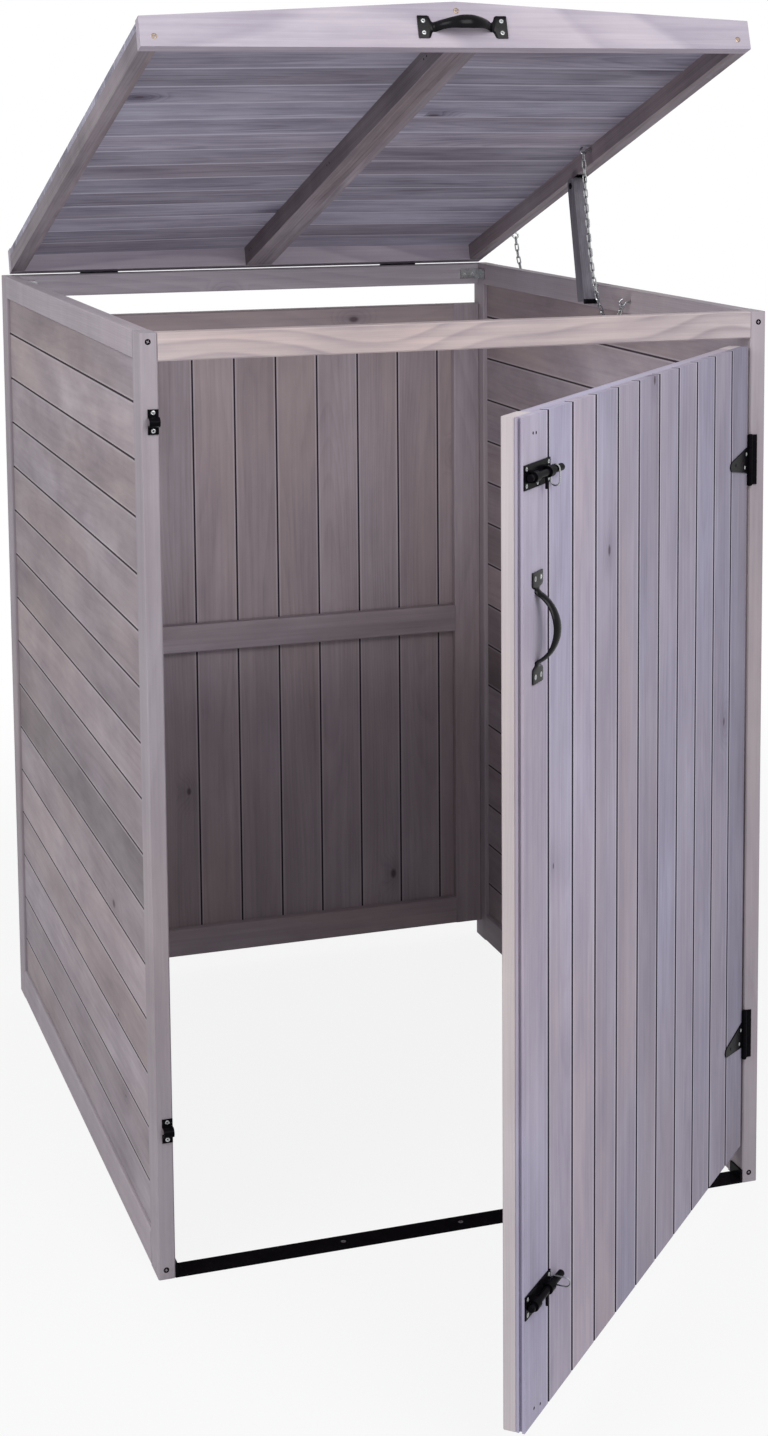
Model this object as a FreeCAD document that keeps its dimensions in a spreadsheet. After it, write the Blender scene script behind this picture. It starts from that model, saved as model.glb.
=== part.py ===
import FreeCAD, Part
import math
import os
import re

import Sketcher

# A timber store for two wheelie bins: a boarded carcass that stands on the ground, a boarded door
# hinged at the front right, and a boarded, gabled lid hinged at the back and held up by a stay.
# Millimetres. X runs to the right, Y to the back and Z up. The origin is on the ground, mid-width,
# at the middle of the threshold strip, which is flush with the front. The stored pose is the one
# with the door and the lid open.

SIZES = {
    # Carcass
    "store_width": 810.0,
    "store_depth": 1054.0,
    "store_height": 1165.0,
    "post_thickness": 21.0,
    "post_depth": 45.0,
    "top_rail_height": 34.0,
    "bottom_rail_height": 45.0,
    "edge_ease": 1.5,
    "threshold_width": 32.0,
    "threshold_thickness": 3.0,
    "threshold_ear": 18.0,
    # Tongue and groove boards
    "board_pitch": 69.8,
    "board_thickness": 9.3,
    "joint_gap": 0.4,
    "tongue_length": 4.5,
    "tongue_thickness": 3.0,
    "tongue_play": 0.3,
    "vee_depth": 1.6,
    "side_recess": 4.5,
    "groove_depth": 6.0,
    "groove_play": 0.3,
    "groove_end_play": 0.5,
    # Door and back panel
    "door_bottom": 53.0,
    "door_top_gap": 10.0,
    "door_side_gap": 2.0,
    "back_panel_bottom": 30.0,
    "batten_width": 45.0,
    "batten_thickness": 15.4,
    "door_open": 47.2,
    # Lid
    "lid_side_inset": 13.0,
    "lid_overhang": 29.0,
    "lid_fascia": 18.0,
    "rafter_thickness": 21.0,
    "rafter_height": 25.0,
    "roof_rise": 4.0,
    "lid_seam_shift": 7.0,
    "eaves_height": 37.3,
    "gable_rise": 21.5,
    "lid_seat_gap": 0.3,
    "lid_open": 17.8,
    # Lid hinges
    "lid_hinge_from_side": 155.0,
    "lid_hinge_length": 60.0,
    "lid_leaf_height": 24.0,
    "lid_leaf_thickness": 1.5,
    "lid_knuckle_radius": 3.0,
    "lid_pin_radius": 1.6,
    "lid_middle_knuckle": 22.0,
    # Door hinges
    "hinge_from_bottom": 154.0,
    "hinge_from_top": 146.5,
    "leaf_height": 64.5,
    "leaf_reach": 11.0,
    "steel_thickness": 1.6,
    "knuckle_radius": 3.5,
    "pin_radius": 1.8,
    "pin_cap_radius": 2.8,
    "pin_cap_height": 1.2,
    "strap_root": 33.0,
    "strap_tip": 12.0,
    "strap_length": 75.0,
    "pin_play": 0.05,
    "knuckle_play": 0.4,
    # Bolts and keepers
    "bolt_from_bottom": 137.0,
    "bolt_from_top": 61.0,
    "bolt_plate_length": 70.0,
    "bolt_plate_height": 25.4,
    "rod_radius": 4.0,
    "rod_length": 88.0,
    "rod_tip_inset": 2.0,
    "rod_chamfer": 1.0,
    "rod_clearance": 0.5,
    "guide_play": 0.4,
    "guide_length": 10.0,
    "guide_inset": 10.0,
    "thumb_radius": 1.6,
    "thumb_drop": 17.0,
    "thumb_inset": 22.0,
    "keeper_height": 30.0,
    "keeper_width": 13.0,
    "keeper_inset": 0.5,
    "ring_wire": 0.9,
    "ring_half_width": 5.4,
    "ring_length": 24.0,
    # Handles
    "handle_length": 115.0,
    "handle_foot_length": 15.5,
    "handle_foot_width": 29.0,
    "handle_taper": 14.0,
    "handle_neck_width": 11.0,
    "handle_middle_width": 15.0,
    "handle_sheet": 1.8,
    "handle_standoff": 26.0,
    "handle_fillet": 16.0,
    "pull_from_top": 218.0,
    "pull_inset": 36.0,
    "lid_handle_rise": 26.0,
    # Stay
    "stay_width": 18.0,
    "stay_depth": 25.0,
    "stay_from_hinge": 512.0,
    "stay_lean": 13.8,
    "stay_wall_gap": 3.0,
    "stay_play": 0.5,
    "stay_pin_radius": 2.5,
    "stay_pin_cap": 4.5,
    "bracket_thickness": 1.5,
    "stay_bracket_depth": 22.0,
    "peg_below_top": 24.7,
    "peg_radius": 3.5,
    "peg_bite": 2.5,
    "peg_gap": 0.3,
    # Hooks and chains
    "hook_wire": 1.4,
    "hook_reach": 8.0,
    "rear_hook_reach": 12.5,
    "hook_radius": 4.5,
    "link_wire": 1.1,
    "link_pitch": 10.8,
    "link_width": 7.4,
    "link_play": 0.2,
    "chain_spare": 1.29,
    "rear_chain_spare": 1.16,
    "lid_hook_from_hinge": 585.0,
    "lid_hook_rise": 18.0,
    "wall_hook_from_hinge": 669.0,
    "rear_hook_from_hinge": 145.0,
    "rear_hook_rise": 7.0,
    "outer_hook_from_hinge": 185.0,
    # Corner brackets
    "corner_leg": 32.0,
    "corner_height": 16.0,
}
# Flat sides of a bent wire, and how many straight runs make a bend
WIRE_SIDE_COUNT = 6
RING_FLAT_COUNT = 4
HOOK_FLAT_COUNT = 9
HANDLE_FLAT_COUNT = 4

doc = FreeCAD.newDocument("wheelie_bin_store")
sheet = doc.addObject("Spreadsheet::Sheet", "Sizes")
for row, (alias, number) in enumerate(SIZES.items(), 1):
    sheet.set(f"A{row}", alias)
    sheet.set(f"B{row}", str(number))
    sheet.setAlias(f"B{row}", alias)
doc.recompute()

nodes = {}
V = FreeCAD.Vector

# Places that several pieces share, as expressions in the sheet's names
FRONT = "(-threshold_width / 2)"
BACK = "(store_depth - threshold_width / 2)"
HALF = "(store_width / 2)"
INNER = "(store_width / 2 - post_thickness)"
RAIL_Z = "(store_height - top_rail_height)"
DOOR_TOP = f"({RAIL_Z} - door_top_gap)"
PANEL_HEIGHT = f"({DOOR_TOP} - door_bottom)"
HINGE_HEIGHTS = {"lower": "(door_bottom + hinge_from_bottom)", "upper": f"({DOOR_TOP} - hinge_from_top)"}
BOLT_HEIGHTS = {"lower": "(door_bottom + bolt_from_bottom)", "upper": f"({DOOR_TOP} - bolt_from_top)"}
DOOR_EDGE = "(door_side_gap / 2)"
DOOR_WIDTH = f"(2 * {INNER} - 2 * door_side_gap)"
HINGE_X = f"({INNER} - door_side_gap / 2)"
HINGE_Y = f"({FRONT} - knuckle_radius)"
LID_Y = f"({BACK} + lid_knuckle_radius)"
LID_Z = "(store_height + lid_seat_gap / 2)"
LID_UNDER = "(lid_seat_gap / 2)"
LID_LENGTH = "(store_depth + lid_overhang)"
LID_FACE = f"(-lid_knuckle_radius - {LID_LENGTH})"
LID_HALF = f"({HALF} - lid_side_inset)"
SLOPE = f"(roof_rise / {LID_HALF})"
SLOPE_ANGLE = f"atan(roof_rise / {LID_HALF})"
RAFTER_X = f"({LID_HALF} - rafter_thickness)"
STAY_X = f"({INNER} - stay_wall_gap - stay_width)"
STAY_Z = "(lid_seat_gap / 2 - bracket_thickness - stay_play - stay_depth / 2)"
ROD_Y = "(knuckle_radius - steel_thickness - rod_clearance - rod_radius)"


def bound(text):
    """The expression with each size's name pointed at its cell of the sheet."""
    return re.sub(r"[a-z]\w*", lambda m: "Sizes." + m[0] if m[0] in SIZES else m[0], str(text))


def size(alias):
    """One size from the sheet, for the shapes that are set in code."""
    return float(sheet.get(alias))


def placement(x=0, y=0, z=0, axis=(0, 0, 1), angle=0):
    """A placement as an expression: a turn about axis, then a move."""
    turn = f"create(<<rotation>>; create(<<vector>>; {axis[0]}; {axis[1]}; {axis[2]}); {angle})"
    return f"create(<<placement>>; create(<<vector>>; {x}; {y}; {z}); {turn})"


LID_FRAME = placement(0, LID_Y, LID_Z, (1, 0, 0), "-lid_open")
FRAMES = {
    "store": None,
    "door": placement(HINGE_X, HINGE_Y, 0, (0, 0, 1), "door_open"),
    "hinge": placement(HINGE_X, HINGE_Y, 0),
    "lid": LID_FRAME,
    "lid_axis": placement(0, LID_Y, LID_Z),
    "stay": LID_FRAME
    + " * "
    + placement(STAY_X, "-stay_from_hinge", STAY_Z, (1, 0, 0), "lid_open - stay_lean"),
}


def put(obj, x=0, y=0, z=0, axis=(0, 0, 1), angle=0, frame="store"):
    """Places obj in one of the frames, bound to the sheet."""
    own = placement(x, y, z, axis, angle)
    whole = f"{FRAMES[frame]} * {own}" if FRAMES[frame] else own
    obj.setExpression("Placement", bound(whole))
    return obj


def node(name, obj):
    """Names a finished sub-part, whose shape goes to a file of that name."""
    obj.Label = name
    nodes[name] = obj
    return obj


def primitive(kind, sizes, **where):
    obj = doc.addObject(kind, kind.split("::")[1])
    for name, text in sizes.items():
        obj.setExpression(name, bound(text))
    return put(obj, **where)


def block(length, width, height, **where):
    return primitive("Part::Box", {"Length": length, "Width": width, "Height": height}, **where)


TURNS = {"X": ((0, 1, 0), 90), "Y": ((1, 0, 0), -90), "Z": ((0, 0, 1), 0)}


def rod(radius, length, along="Z", **where):
    """A cylinder from its place towards plus X, Y or Z."""
    axis, angle = TURNS[along]
    return primitive(
        "Part::Cylinder", {"Radius": radius, "Height": length}, axis=axis, angle=angle, **where
    )


def fuse(*shapes):
    obj = doc.addObject("Part::MultiFuse", "Fuse")
    obj.Shapes = list(shapes)
    obj.Refine = True
    return obj


def cut(base, tool):
    obj = doc.addObject("Part::Cut", "Cut")
    obj.Base, obj.Tool = base, tool
    return obj


def group(*shapes):
    obj = doc.addObject("Part::Compound", "Group")
    obj.Links = list(shapes)
    return obj


def common(first, second):
    obj = doc.addObject("Part::MultiCommon", "Common")
    obj.Shapes = [first, second]
    return obj


# Sketches


def new_body(name):
    body = doc.addObject("PartDesign::Body", name)
    body.AllowCompound = True
    return body


def new_sketch(body, name, plane):
    sketch = body.newObject("Sketcher::SketchObject", name)
    origin_plane = [p for p in body.Origin.OriginFeatures if p.Role == plane][0]
    sketch.AttachmentSupport = [(origin_plane, "")]
    sketch.MapMode = "FlatFace"
    return sketch


def outline(sketch, points):
    """A closed outline of straight lines through points, each an (x, y) pair of expressions."""
    count, first = len(points), sketch.GeometryCount
    turn = 2 * math.pi / count
    start = [V(10 * math.cos(i * turn), 10 * math.sin(i * turn), 0) for i in range(count)]
    lines = [Part.LineSegment(start[i], start[(i + 1) % count]) for i in range(count)]
    sketch.addGeometry(lines, False)
    joins = [
        Sketcher.Constraint("Coincident", first + i, 2, first + (i + 1) % count, 1)
        for i in range(count)
    ]
    sketch.addConstraint(joins)
    for i, (x, y) in enumerate(points):
        for kind, text in (("DistanceX", x), ("DistanceY", y)):
            index = sketch.addConstraint(Sketcher.Constraint(kind, -1, 1, first + i, 1, 1.0))
            sketch.setExpression(f"Constraints[{index}]", bound(text))
    return sketch


def rectangle(sketch, x, y, width, height):
    return outline(
        sketch,
        [
            (x, y),
            (f"{x} + {width}", y),
            (f"{x} + {width}", f"{y} + {height}"),
            (x, f"{y} + {height}"),
        ],
    )


def circle(sketch, x, y, radius):
    index = sketch.addGeometry(Part.Circle(V(0, 0, 0), V(0, 0, 1), 1.0), False)
    for kind, ends, text in (
        ("DistanceX", (-1, 1, index, 3), x),
        ("DistanceY", (-1, 1, index, 3), y),
        ("Radius", (index,), radius),
    ):
        constraint = sketch.addConstraint(Sketcher.Constraint(kind, *ends, 1.0))
        sketch.setExpression(f"Constraints[{constraint}]", bound(text))
    return sketch


def pad(body, sketch, length, backwards=False):
    feature = body.newObject("PartDesign::Pad", "Pad")
    feature.Profile = sketch
    feature.setExpression("Length", bound(length))
    feature.Reversed = backwards
    return feature


# Section plane, and whether a pad has to be turned round to run towards plus X, Y or Z
SECTIONS = {"X": ("YZ_Plane", False), "Y": ("XZ_Plane", True), "Z": ("XY_Plane", False)}


def timber(name, run, width, height, length, groove=None):
    """A planed timber with eased long edges, its low corner at the origin, and a groove if given."""
    body = new_body(name)
    plane, backwards = SECTIONS[run]
    stick = pad(body, rectangle(new_sketch(body, "Section", plane), 0, 0, width, height), length, backwards)
    doc.recompute()
    direction = {"X": V(1, 0, 0), "Y": V(0, 1, 0), "Z": V(0, 0, 1)}[run]
    long_edges = [
        f"Edge{i}"
        for i, edge in enumerate(stick.Shape.Edges, 1)
        if abs(edge.tangentAt(edge.FirstParameter).dot(direction)) > 0.999
    ]
    ease = body.newObject("PartDesign::Chamfer", "Ease")
    ease.Base = (stick, long_edges)
    ease.setExpression("Size", bound("edge_ease"))
    if groove:
        pocket = body.newObject("PartDesign::Pocket", "Groove")
        pocket.Profile = rectangle(new_sketch(body, "GrooveSection", plane), *groove)
        pocket.Type = "ThroughAll"
        pocket.Midplane = True
    return body


def board_profile(outer_high):
    """One tongue and groove board as (along the wall, through its thickness) pairs of expressions.

    The edges that show have a chamfer each, so that two boards make a vee.
    """
    low, high = "joint_gap / 2", "(board_pitch - joint_gap / 2)"
    tongue_low = "(board_thickness / 2 - tongue_thickness / 2)"
    tongue_high = "(board_thickness / 2 + tongue_thickness / 2)"
    groove_low = f"({tongue_low} - tongue_play)"
    groove_high = f"({tongue_high} + tongue_play)"
    deep = f"({low} + tongue_length + tongue_play)"
    points = [
        (low, "vee_depth"),
        (f"{low} + vee_depth", "0"),
        (f"{high} - vee_depth", "0"),
        (high, "vee_depth"),
        (high, tongue_low),
        (f"{high} + tongue_length", tongue_low),
        (f"{high} + tongue_length", tongue_high),
        (high, tongue_high),
        (high, "board_thickness"),
        (low, "board_thickness"),
        (low, groove_high),
        (deep, groove_high),
        (deep, groove_low),
        (low, groove_low),
    ]
    if outer_high:
        points = [(along, f"board_thickness - {through}") for along, through in points]
    return points


def boards(name, run, stack_on, span, length, outer_high=False, backwards=False):
    """A wall of tongue and groove boards, centred on the stacking axis and trimmed later."""
    body = new_body(name)
    plane, turned = SECTIONS[run]
    profile = board_profile(outer_high)
    if stack_on == "V_Axis":
        profile = [(through, along) for along, through in profile]
    section = outline(new_sketch(body, "Board", plane), profile)
    first = pad(body, section, length, turned != backwards)
    doc.recompute()
    row = body.newObject("PartDesign::LinearPattern", "Row")
    row.Originals = [first]
    row.Direction = (section, [stack_on])
    count = f"ceil({span} / board_pitch - 0.02)"
    row.setExpression("Occurrences", bound(count))
    row.setExpression("Length", bound(f"board_pitch * ({count} - 1)"))
    body.Tip = row
    return body


def centred(span):
    """How far a wall of whole boards starts before the span that it covers."""
    return f"(({span}) - board_pitch * ceil(({span}) / board_pitch - 0.02)) / 2"


# Carcass


def side_panel(side):
    """The two posts, two rails and the boards of one side wall. side is left or right."""
    left = side == "left"
    edge = f"-{HALF}" if left else INNER
    groove_width = "(board_thickness + groove_play)"
    recess = "(side_recess - groove_play / 2)"
    groove_x = recess if left else f"(post_thickness - {recess} - {groove_width})"
    for end, place, groove_y in (
        ("front", FRONT, "(post_depth - groove_depth)"),
        ("back", f"({BACK} - post_depth)", "0"),
    ):
        post = timber(
            f"{end}_{side}_post",
            "Z",
            "post_thickness",
            "post_depth",
            "store_height",
            (groove_x, groove_y, groove_width, "groove_depth"),
        )
        node(f"{end}_{side}_post", put(post, x=edge, y=place))
    rail_length = "(store_depth - 2 * post_depth)"
    rail_start = f"({FRONT} + post_depth)"
    for level, height, place, groove_z in (
        ("top", "top_rail_height", RAIL_Z, "0"),
        ("bottom", "bottom_rail_height", "0", "(bottom_rail_height - groove_depth)"),
    ):
        rail = timber(
            f"{side}_{level}_rail",
            "Y",
            "post_thickness",
            height,
            rail_length,
            (groove_x, groove_z, groove_width, "groove_depth"),
        )
        node(f"{side}_{level}_rail", put(rail, x=edge, y=rail_start, z=place))
    bite = "(groove_depth - groove_end_play)"
    opening = f"({RAIL_Z} - bottom_rail_height)"
    span = f"({opening} + 2 * {bite})"
    face = f"({edge} + {'side_recess' if left else 'post_thickness - side_recess - board_thickness'})"
    wall = boards(f"{side}_wall", "Y", "V_Axis", span, f"{rail_length} + 2 * {bite}", not left)
    put(wall, x=face, y=f"{rail_start} - {bite}", z=f"bottom_rail_height - {bite} + {centred(span)}")
    trim = block(
        "board_thickness",
        f"{rail_length} + 2 * {bite}",
        span,
        x=face,
        y=f"{rail_start} - {bite}",
        z=f"bottom_rail_height - {bite}",
    )
    node(f"{side}_side_boards", common(wall, trim))


def cross_rails():
    """The header over the door and the rail along the top of the back."""
    for name, place in (("front_header", FRONT), ("back_top_rail", f"{BACK} - post_thickness")):
        rail = timber(name, "X", "post_thickness", "top_rail_height", f"2 * {INNER}")
        node(name, put(rail, x=f"-{INNER}", y=place, z=RAIL_Z))


def panel(names, width, x, y, z, outer_high, frame):
    """Vertical boards on two stiles and three rails. y is the face of the boards that shows."""
    board_y = f"({y} - board_thickness)" if outer_high else y
    batten_y = f"({y} - board_thickness - batten_thickness)" if outer_high else f"({y} + board_thickness)"
    wall = boards(names["boards"], "Z", "H_Axis", width, PANEL_HEIGHT, outer_high)
    put(wall, x=f"{x} + {centred(width)}", y=board_y, z=z)
    whole = common(wall, block(width, "board_thickness", PANEL_HEIGHT, x=x, y=board_y, z=z))
    node(names["boards"], put(whole, frame=frame))
    stiles = []
    for place in (x, f"{x} + {width} - batten_width"):
        stile = timber("stile", "Z", "batten_width", "batten_thickness", PANEL_HEIGHT)
        stiles.append(put(stile, x=place, y=batten_y, z=z, frame=frame))
    rails = []
    for place in ("0", f"({PANEL_HEIGHT} - batten_width) / 2", f"{PANEL_HEIGHT} - batten_width"):
        rail = timber(
            "rail", "X", "batten_thickness", "batten_width", f"{width} - 2 * batten_width"
        )
        rails.append(put(rail, x=f"{x} + batten_width", y=batten_y, z=f"{z} + {place}", frame=frame))
    if len(names["stiles"]) == 1:
        node(names["stiles"][0], group(*stiles))
    else:
        for name, stile in zip(names["stiles"], stiles):
            node(name, stile)
    node(names["rails"], group(*rails))


def threshold():
    """A steel flat on the ground between the front posts, with an ear turned up at each end."""
    flat = block(
        f"2 * {INNER}", "threshold_width", "threshold_thickness", x=f"-{INNER}", y=FRONT
    )
    ears = [
        block("threshold_thickness", "threshold_width", "threshold_ear", x=place, y=FRONT)
        for place in (f"-{INNER}", f"{INNER} - threshold_thickness")
    ]
    node("threshold_strip", fuse(flat, *ears))


def corner_brackets():
    """A zinc angle in each top corner, on the inside."""
    corners = []
    middle = "(store_height - top_rail_height / 2 - corner_height / 2)"
    for x, along_x in ((f"-{INNER}", "0"), (INNER, "-1")):
        for y, along_y in ((f"({FRONT} + post_thickness)", "0"), (f"({BACK} - post_thickness)", "-1")):
            across = block(
                "corner_leg",
                "bracket_thickness",
                "corner_height",
                x=f"{x} + {along_x} * corner_leg",
                y=f"{y} + {along_y} * bracket_thickness",
                z=middle,
            )
            along = block(
                "bracket_thickness",
                "corner_leg",
                "corner_height",
                x=f"{x} + {along_x} * bracket_thickness",
                y=f"{y} + {along_y} * corner_leg",
                z=middle,
            )
            corners.append(fuse(across, along))
    node("corner_brackets", group(*corners))


# Door hardware


def door_hinge(level, height):
    """A T-hinge: a narrow leaf on the post, a tapering strap on the door and the pin they share."""
    middle, end = "strap_root / 2", "(leaf_height / 2 - strap_root / 2 - knuckle_play)"
    plate_y = "(knuckle_radius - steel_thickness)"
    bore = "pin_radius + pin_play"
    start = "(knuckle_radius + knuckle_play)"
    width = f"leaf_reach - {start}"
    leaf = [block(width, "steel_thickness", "leaf_height", x=start, y=plate_y, z="-leaf_height / 2")]
    for low in (f"-leaf_height / 2", f"({middle} + knuckle_play)"):
        leaf.append(block(start, "steel_thickness", end, y=plate_y, z=low))
        leaf.append(rod("knuckle_radius", end, z=low))
    whole = cut(fuse(*leaf), rod(bore, "leaf_height", z="-leaf_height / 2"))
    node(f"{level}_hinge_leaf", put(whole, z=height, frame="hinge"))

    body = new_body("strap")
    strap = outline(
        new_sketch(body, "Strap", "XZ_Plane"),
        [
            ("0", f"-{middle}"),
            ("0", middle),
            ("-knuckle_radius", middle),
            ("-(strap_length - strap_tip / 2)", "strap_tip / 2"),
            ("-(strap_length - strap_tip / 7)", "strap_tip / 2.8"),
            ("-strap_length", "0"),
            ("-(strap_length - strap_tip / 7)", "-strap_tip / 2.8"),
            ("-(strap_length - strap_tip / 2)", "-strap_tip / 2"),
            ("-knuckle_radius", f"-{middle}"),
        ],
    )
    pad(body, strap, "steel_thickness", True)
    put(body, y=plate_y)
    barrel = rod("knuckle_radius", "strap_root", z="-strap_root / 2")
    whole = cut(fuse(body, barrel), rod(bore, "strap_root", z="-strap_root / 2"))
    node(f"{level}_hinge_strap", put(whole, z=height, frame="door"))

    pin = fuse(
        rod("pin_radius", "leaf_height", z="-leaf_height / 2"),
        rod("pin_cap_radius", "pin_cap_height", z="leaf_height / 2"),
        rod("pin_cap_radius", "pin_cap_height", z="-leaf_height / 2 - pin_cap_height"),
    )
    return put(pin, z=height, frame="hinge")


def bow(y, x, length):
    """The outside and the inside of a raised guide, from the plate's face to round the rod."""
    outside = "(rod_radius + guide_play + steel_thickness)"
    inside = "(rod_radius + guide_play)"
    solid = [
        block(length, f"({y}) - {ROD_Y}", f"2 * {outside}", x=x, y=ROD_Y, z=f"-{outside}"),
        rod(outside, length, "X", x=x, y=ROD_Y),
    ]
    hollow = [
        block(length, f"({y}) - {ROD_Y}", f"2 * {inside}", x=x, y=ROD_Y, z=f"-{inside}"),
        rod(inside, length, "X", x=x, y=ROD_Y),
    ]
    return solid, hollow


def bolt(level, height):
    """A plate with two raised guides, the rod that slides in them, and the keeper on the post."""
    edge = f"(-{DOOR_EDGE} - {DOOR_WIDTH})"
    face = "(knuckle_radius - steel_thickness)"
    low = "-bolt_plate_height / 2"
    plate = block("bolt_plate_length", "steel_thickness", "bolt_plate_height", x=edge, y=face, z=low)
    solids, hollows = [plate], []
    for place in ("guide_inset", "(bolt_plate_length - guide_inset - guide_length)"):
        solid, hollow = bow(face, f"{edge} + {place}", "guide_length")
        solids += solid
        hollows += hollow
    whole = cut(fuse(*solids), fuse(*hollows))
    node(f"{level}_bolt_plate", put(whole, z=height, frame="door"))

    body = new_body("rod")
    shaft = pad(body, circle(new_sketch(body, "Shaft", "YZ_Plane"), 0, 0, "rod_radius"), "rod_length")
    doc.recompute()
    rims = [f"Edge{i}" for i, edge_ in enumerate(shaft.Shape.Edges, 1) if edge_.Closed]
    chamfer = body.newObject("PartDesign::Chamfer", "Ends")
    chamfer.Base = (shaft, rims)
    chamfer.setExpression("Size", bound("rod_chamfer"))
    thumb_x = "(bolt_plate_length - thumb_inset - rod_tip_inset)"
    pad(body, circle(new_sketch(body, "Thumb", "XY_Plane"), thumb_x, 0, "thumb_radius"), "thumb_drop", True)
    node(
        f"{level}_bolt_rod",
        put(body, x=f"{edge} + rod_tip_inset", y=ROD_Y, z=height, frame="door"),
    )


def keepers():
    """Two strips on the left post, each with a raised bow that takes a rod."""
    whole = []
    edge = f"(-{INNER} - keeper_inset - keeper_width - {HINGE_X})"
    for height in BOLT_HEIGHTS.values():
        strip = block(
            "keeper_width",
            "steel_thickness",
            "keeper_height",
            x=edge,
            y="knuckle_radius - steel_thickness",
            z="-keeper_height / 2",
        )
        solid, hollow = bow("knuckle_radius", edge, "keeper_width")
        whole.append(put(cut(fuse(strip, *solid), fuse(*hollow)), z=height, frame="hinge"))
    node("bolt_keepers", group(*whole))


def handle(name, **where):
    """A handle pressed from strip. It lies along X and stands out towards minus Y.

    Its feet are flat. From the side a fillet and one big arc lead from foot to foot, and from the
    front it narrows from each foot to a neck and widens a little to its middle.
    """
    flat = "(handle_length / 2 - handle_foot_length)"
    rise = "(handle_standoff - handle_sheet)"
    arc = f"(({flat}^2 + {rise}^2 - 2 * handle_fillet * {rise}) / (2 * {rise}))"
    steep = f"asin({flat} / ({arc} + handle_fillet))"
    low, high = "handle_fillet", f"({rise} - {arc})"
    right = {1: [], -1: []}
    for side, points in right.items():
        points.append(("handle_length / 2", f"-(1 + {side}) / 2 * handle_sheet"))
        inner = f"(handle_fillet - {side} * handle_sheet / 2)"
        outer = f"({arc} + {side} * handle_sheet / 2)"
        for step in range(HANDLE_FLAT_COUNT):
            turn = f"({steep} * {step / HANDLE_FLAT_COUNT})"
            points.append(
                (f"{flat} - {inner} * sin({turn})", f"-(handle_sheet / 2 + {low} - {inner} * cos({turn}))")
            )
        for step in range(HANDLE_FLAT_COUNT, -1, -1):
            turn = f"({steep} * {step / HANDLE_FLAT_COUNT})"
            points.append((f"{outer} * sin({turn})", f"-(handle_sheet / 2 + {high} + {outer} * cos({turn}))"))
    mirrored = {
        side: [(f"-({x})", y) for x, y in points[-2::-1]] for side, points in right.items()
    }
    profile = right[1] + mirrored[1] + mirrored[-1][::-1] + right[-1][::-1]
    strip = new_body("strip")
    pad(strip, outline(new_sketch(strip, "Side", "XY_Plane"), profile), "handle_foot_width")
    put(strip, z="-handle_foot_width / 2")

    neck, foot, middle = "handle_neck_width / 2", "handle_foot_width / 2", "handle_middle_width / 2"
    edge = [("handle_length / 2", foot), (flat, foot)]
    for along, share in ((0.25, 0.5), (0.5, 0.2), (1, 0)):
        edge.append((f"{flat} - {along} * handle_taper", f"{neck} + {share} * ({foot} - {neck})"))
    edge.append(("0", middle))
    half = edge + [(f"-({x})", z) for x, z in edge[-2::-1]]
    front = half + [(x, f"-({z})") for x, z in half[::-1]]
    plan = new_body("plan")
    pad(plan, outline(new_sketch(plan, "Front", "XZ_Plane"), front), "handle_standoff")
    return node(name, put(group(common(strip, plan)), **where))


# Lid


def lid_timber(name, points, length, **where):
    """A timber along the lid with its section given by points."""
    body = new_body(name)
    pad(body, outline(new_sketch(body, "Section", "XZ_Plane"), points), length, True)
    return node(name, put(body, frame="lid", **where))


def lid():
    """Gabled fascias at the front and back, rafters between them, and a nearly flat roof of boards.

    The roof is in two halves, each with a rafter along its outer and its inner edge, so that two
    rafters lie side by side under the seam, which is a little to the right of the middle.
    """
    run = f"({LID_LENGTH} - 2 * lid_fascia)"
    start = f"({LID_FACE} + lid_fascia)"
    half = LID_HALF
    gable = [
        (f"-{half}", "0"),
        (half, "0"),
        (half, "eaves_height"),
        ("0", "eaves_height + gable_rise"),
        (f"-{half}", "eaves_height"),
    ]
    lid_timber("lid_front_fascia", gable, "lid_fascia", y=LID_FACE, z=LID_UNDER)
    lid_timber("lid_back_fascia", gable, "lid_fascia", y="-lid_knuckle_radius - lid_fascia", z=LID_UNDER)
    ridge = "(rafter_height + roof_rise)"
    step = f"(rafter_thickness * {SLOPE})"
    left_top = f"{ridge} + (lid_seam_shift - joint_gap / 2) * {SLOPE}"
    right_top = f"{ridge} - (lid_seam_shift + joint_gap / 2) * {SLOPE}"
    rafters = {
        "lid_left_rafter": (f"-{half}", "rafter_height", f"rafter_height + {step}"),
        "lid_centre_rafter": (
            "lid_seam_shift - joint_gap / 2 - rafter_thickness",
            f"{left_top} - {step}",
            left_top,
        ),
        "lid_second_centre_rafter": (
            "lid_seam_shift + joint_gap / 2",
            right_top,
            f"{right_top} - {step}",
        ),
        "lid_right_rafter": (RAFTER_X, f"rafter_height + {step}", "rafter_height"),
    }
    for name, (place, low_x, high_x) in rafters.items():
        section = [("0", "0"), ("rafter_thickness", "0"), ("rafter_thickness", high_x), ("0", low_x)]
        lid_timber(name, section, run, x=place, y=start, z=LID_UNDER)
    overlap = "board_thickness"
    for side, sign in (("left", "-1"), ("right", "1")):
        slope = boards(
            f"lid_{side}_slope",
            "X",
            "H_Axis",
            run,
            f"{half} / cos({SLOPE_ANGLE}) + 2 * {overlap}",
            outer_high=True,
            backwards=side == "left",
        )
        put(
            slope,
            x=f"-1 * {sign} * {overlap} * cos({SLOPE_ANGLE})",
            y=f"{start} + {centred(run)}",
            z=f"{LID_UNDER} + {ridge} + {overlap} * sin({SLOPE_ANGLE})",
            axis=(0, 1, 0),
            angle=f"{sign} * {SLOPE_ANGLE}",
        )
        low = f"-{half}" if side == "left" else "lid_seam_shift + joint_gap / 4"
        width = f"{half} - joint_gap / 4 - {sign} * lid_seam_shift"
        trim = block(width, run, f"2 * {ridge}", x=low, y=start)
        node(f"lid_{side}_boards", put(common(slope, trim), frame="lid"))


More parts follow.
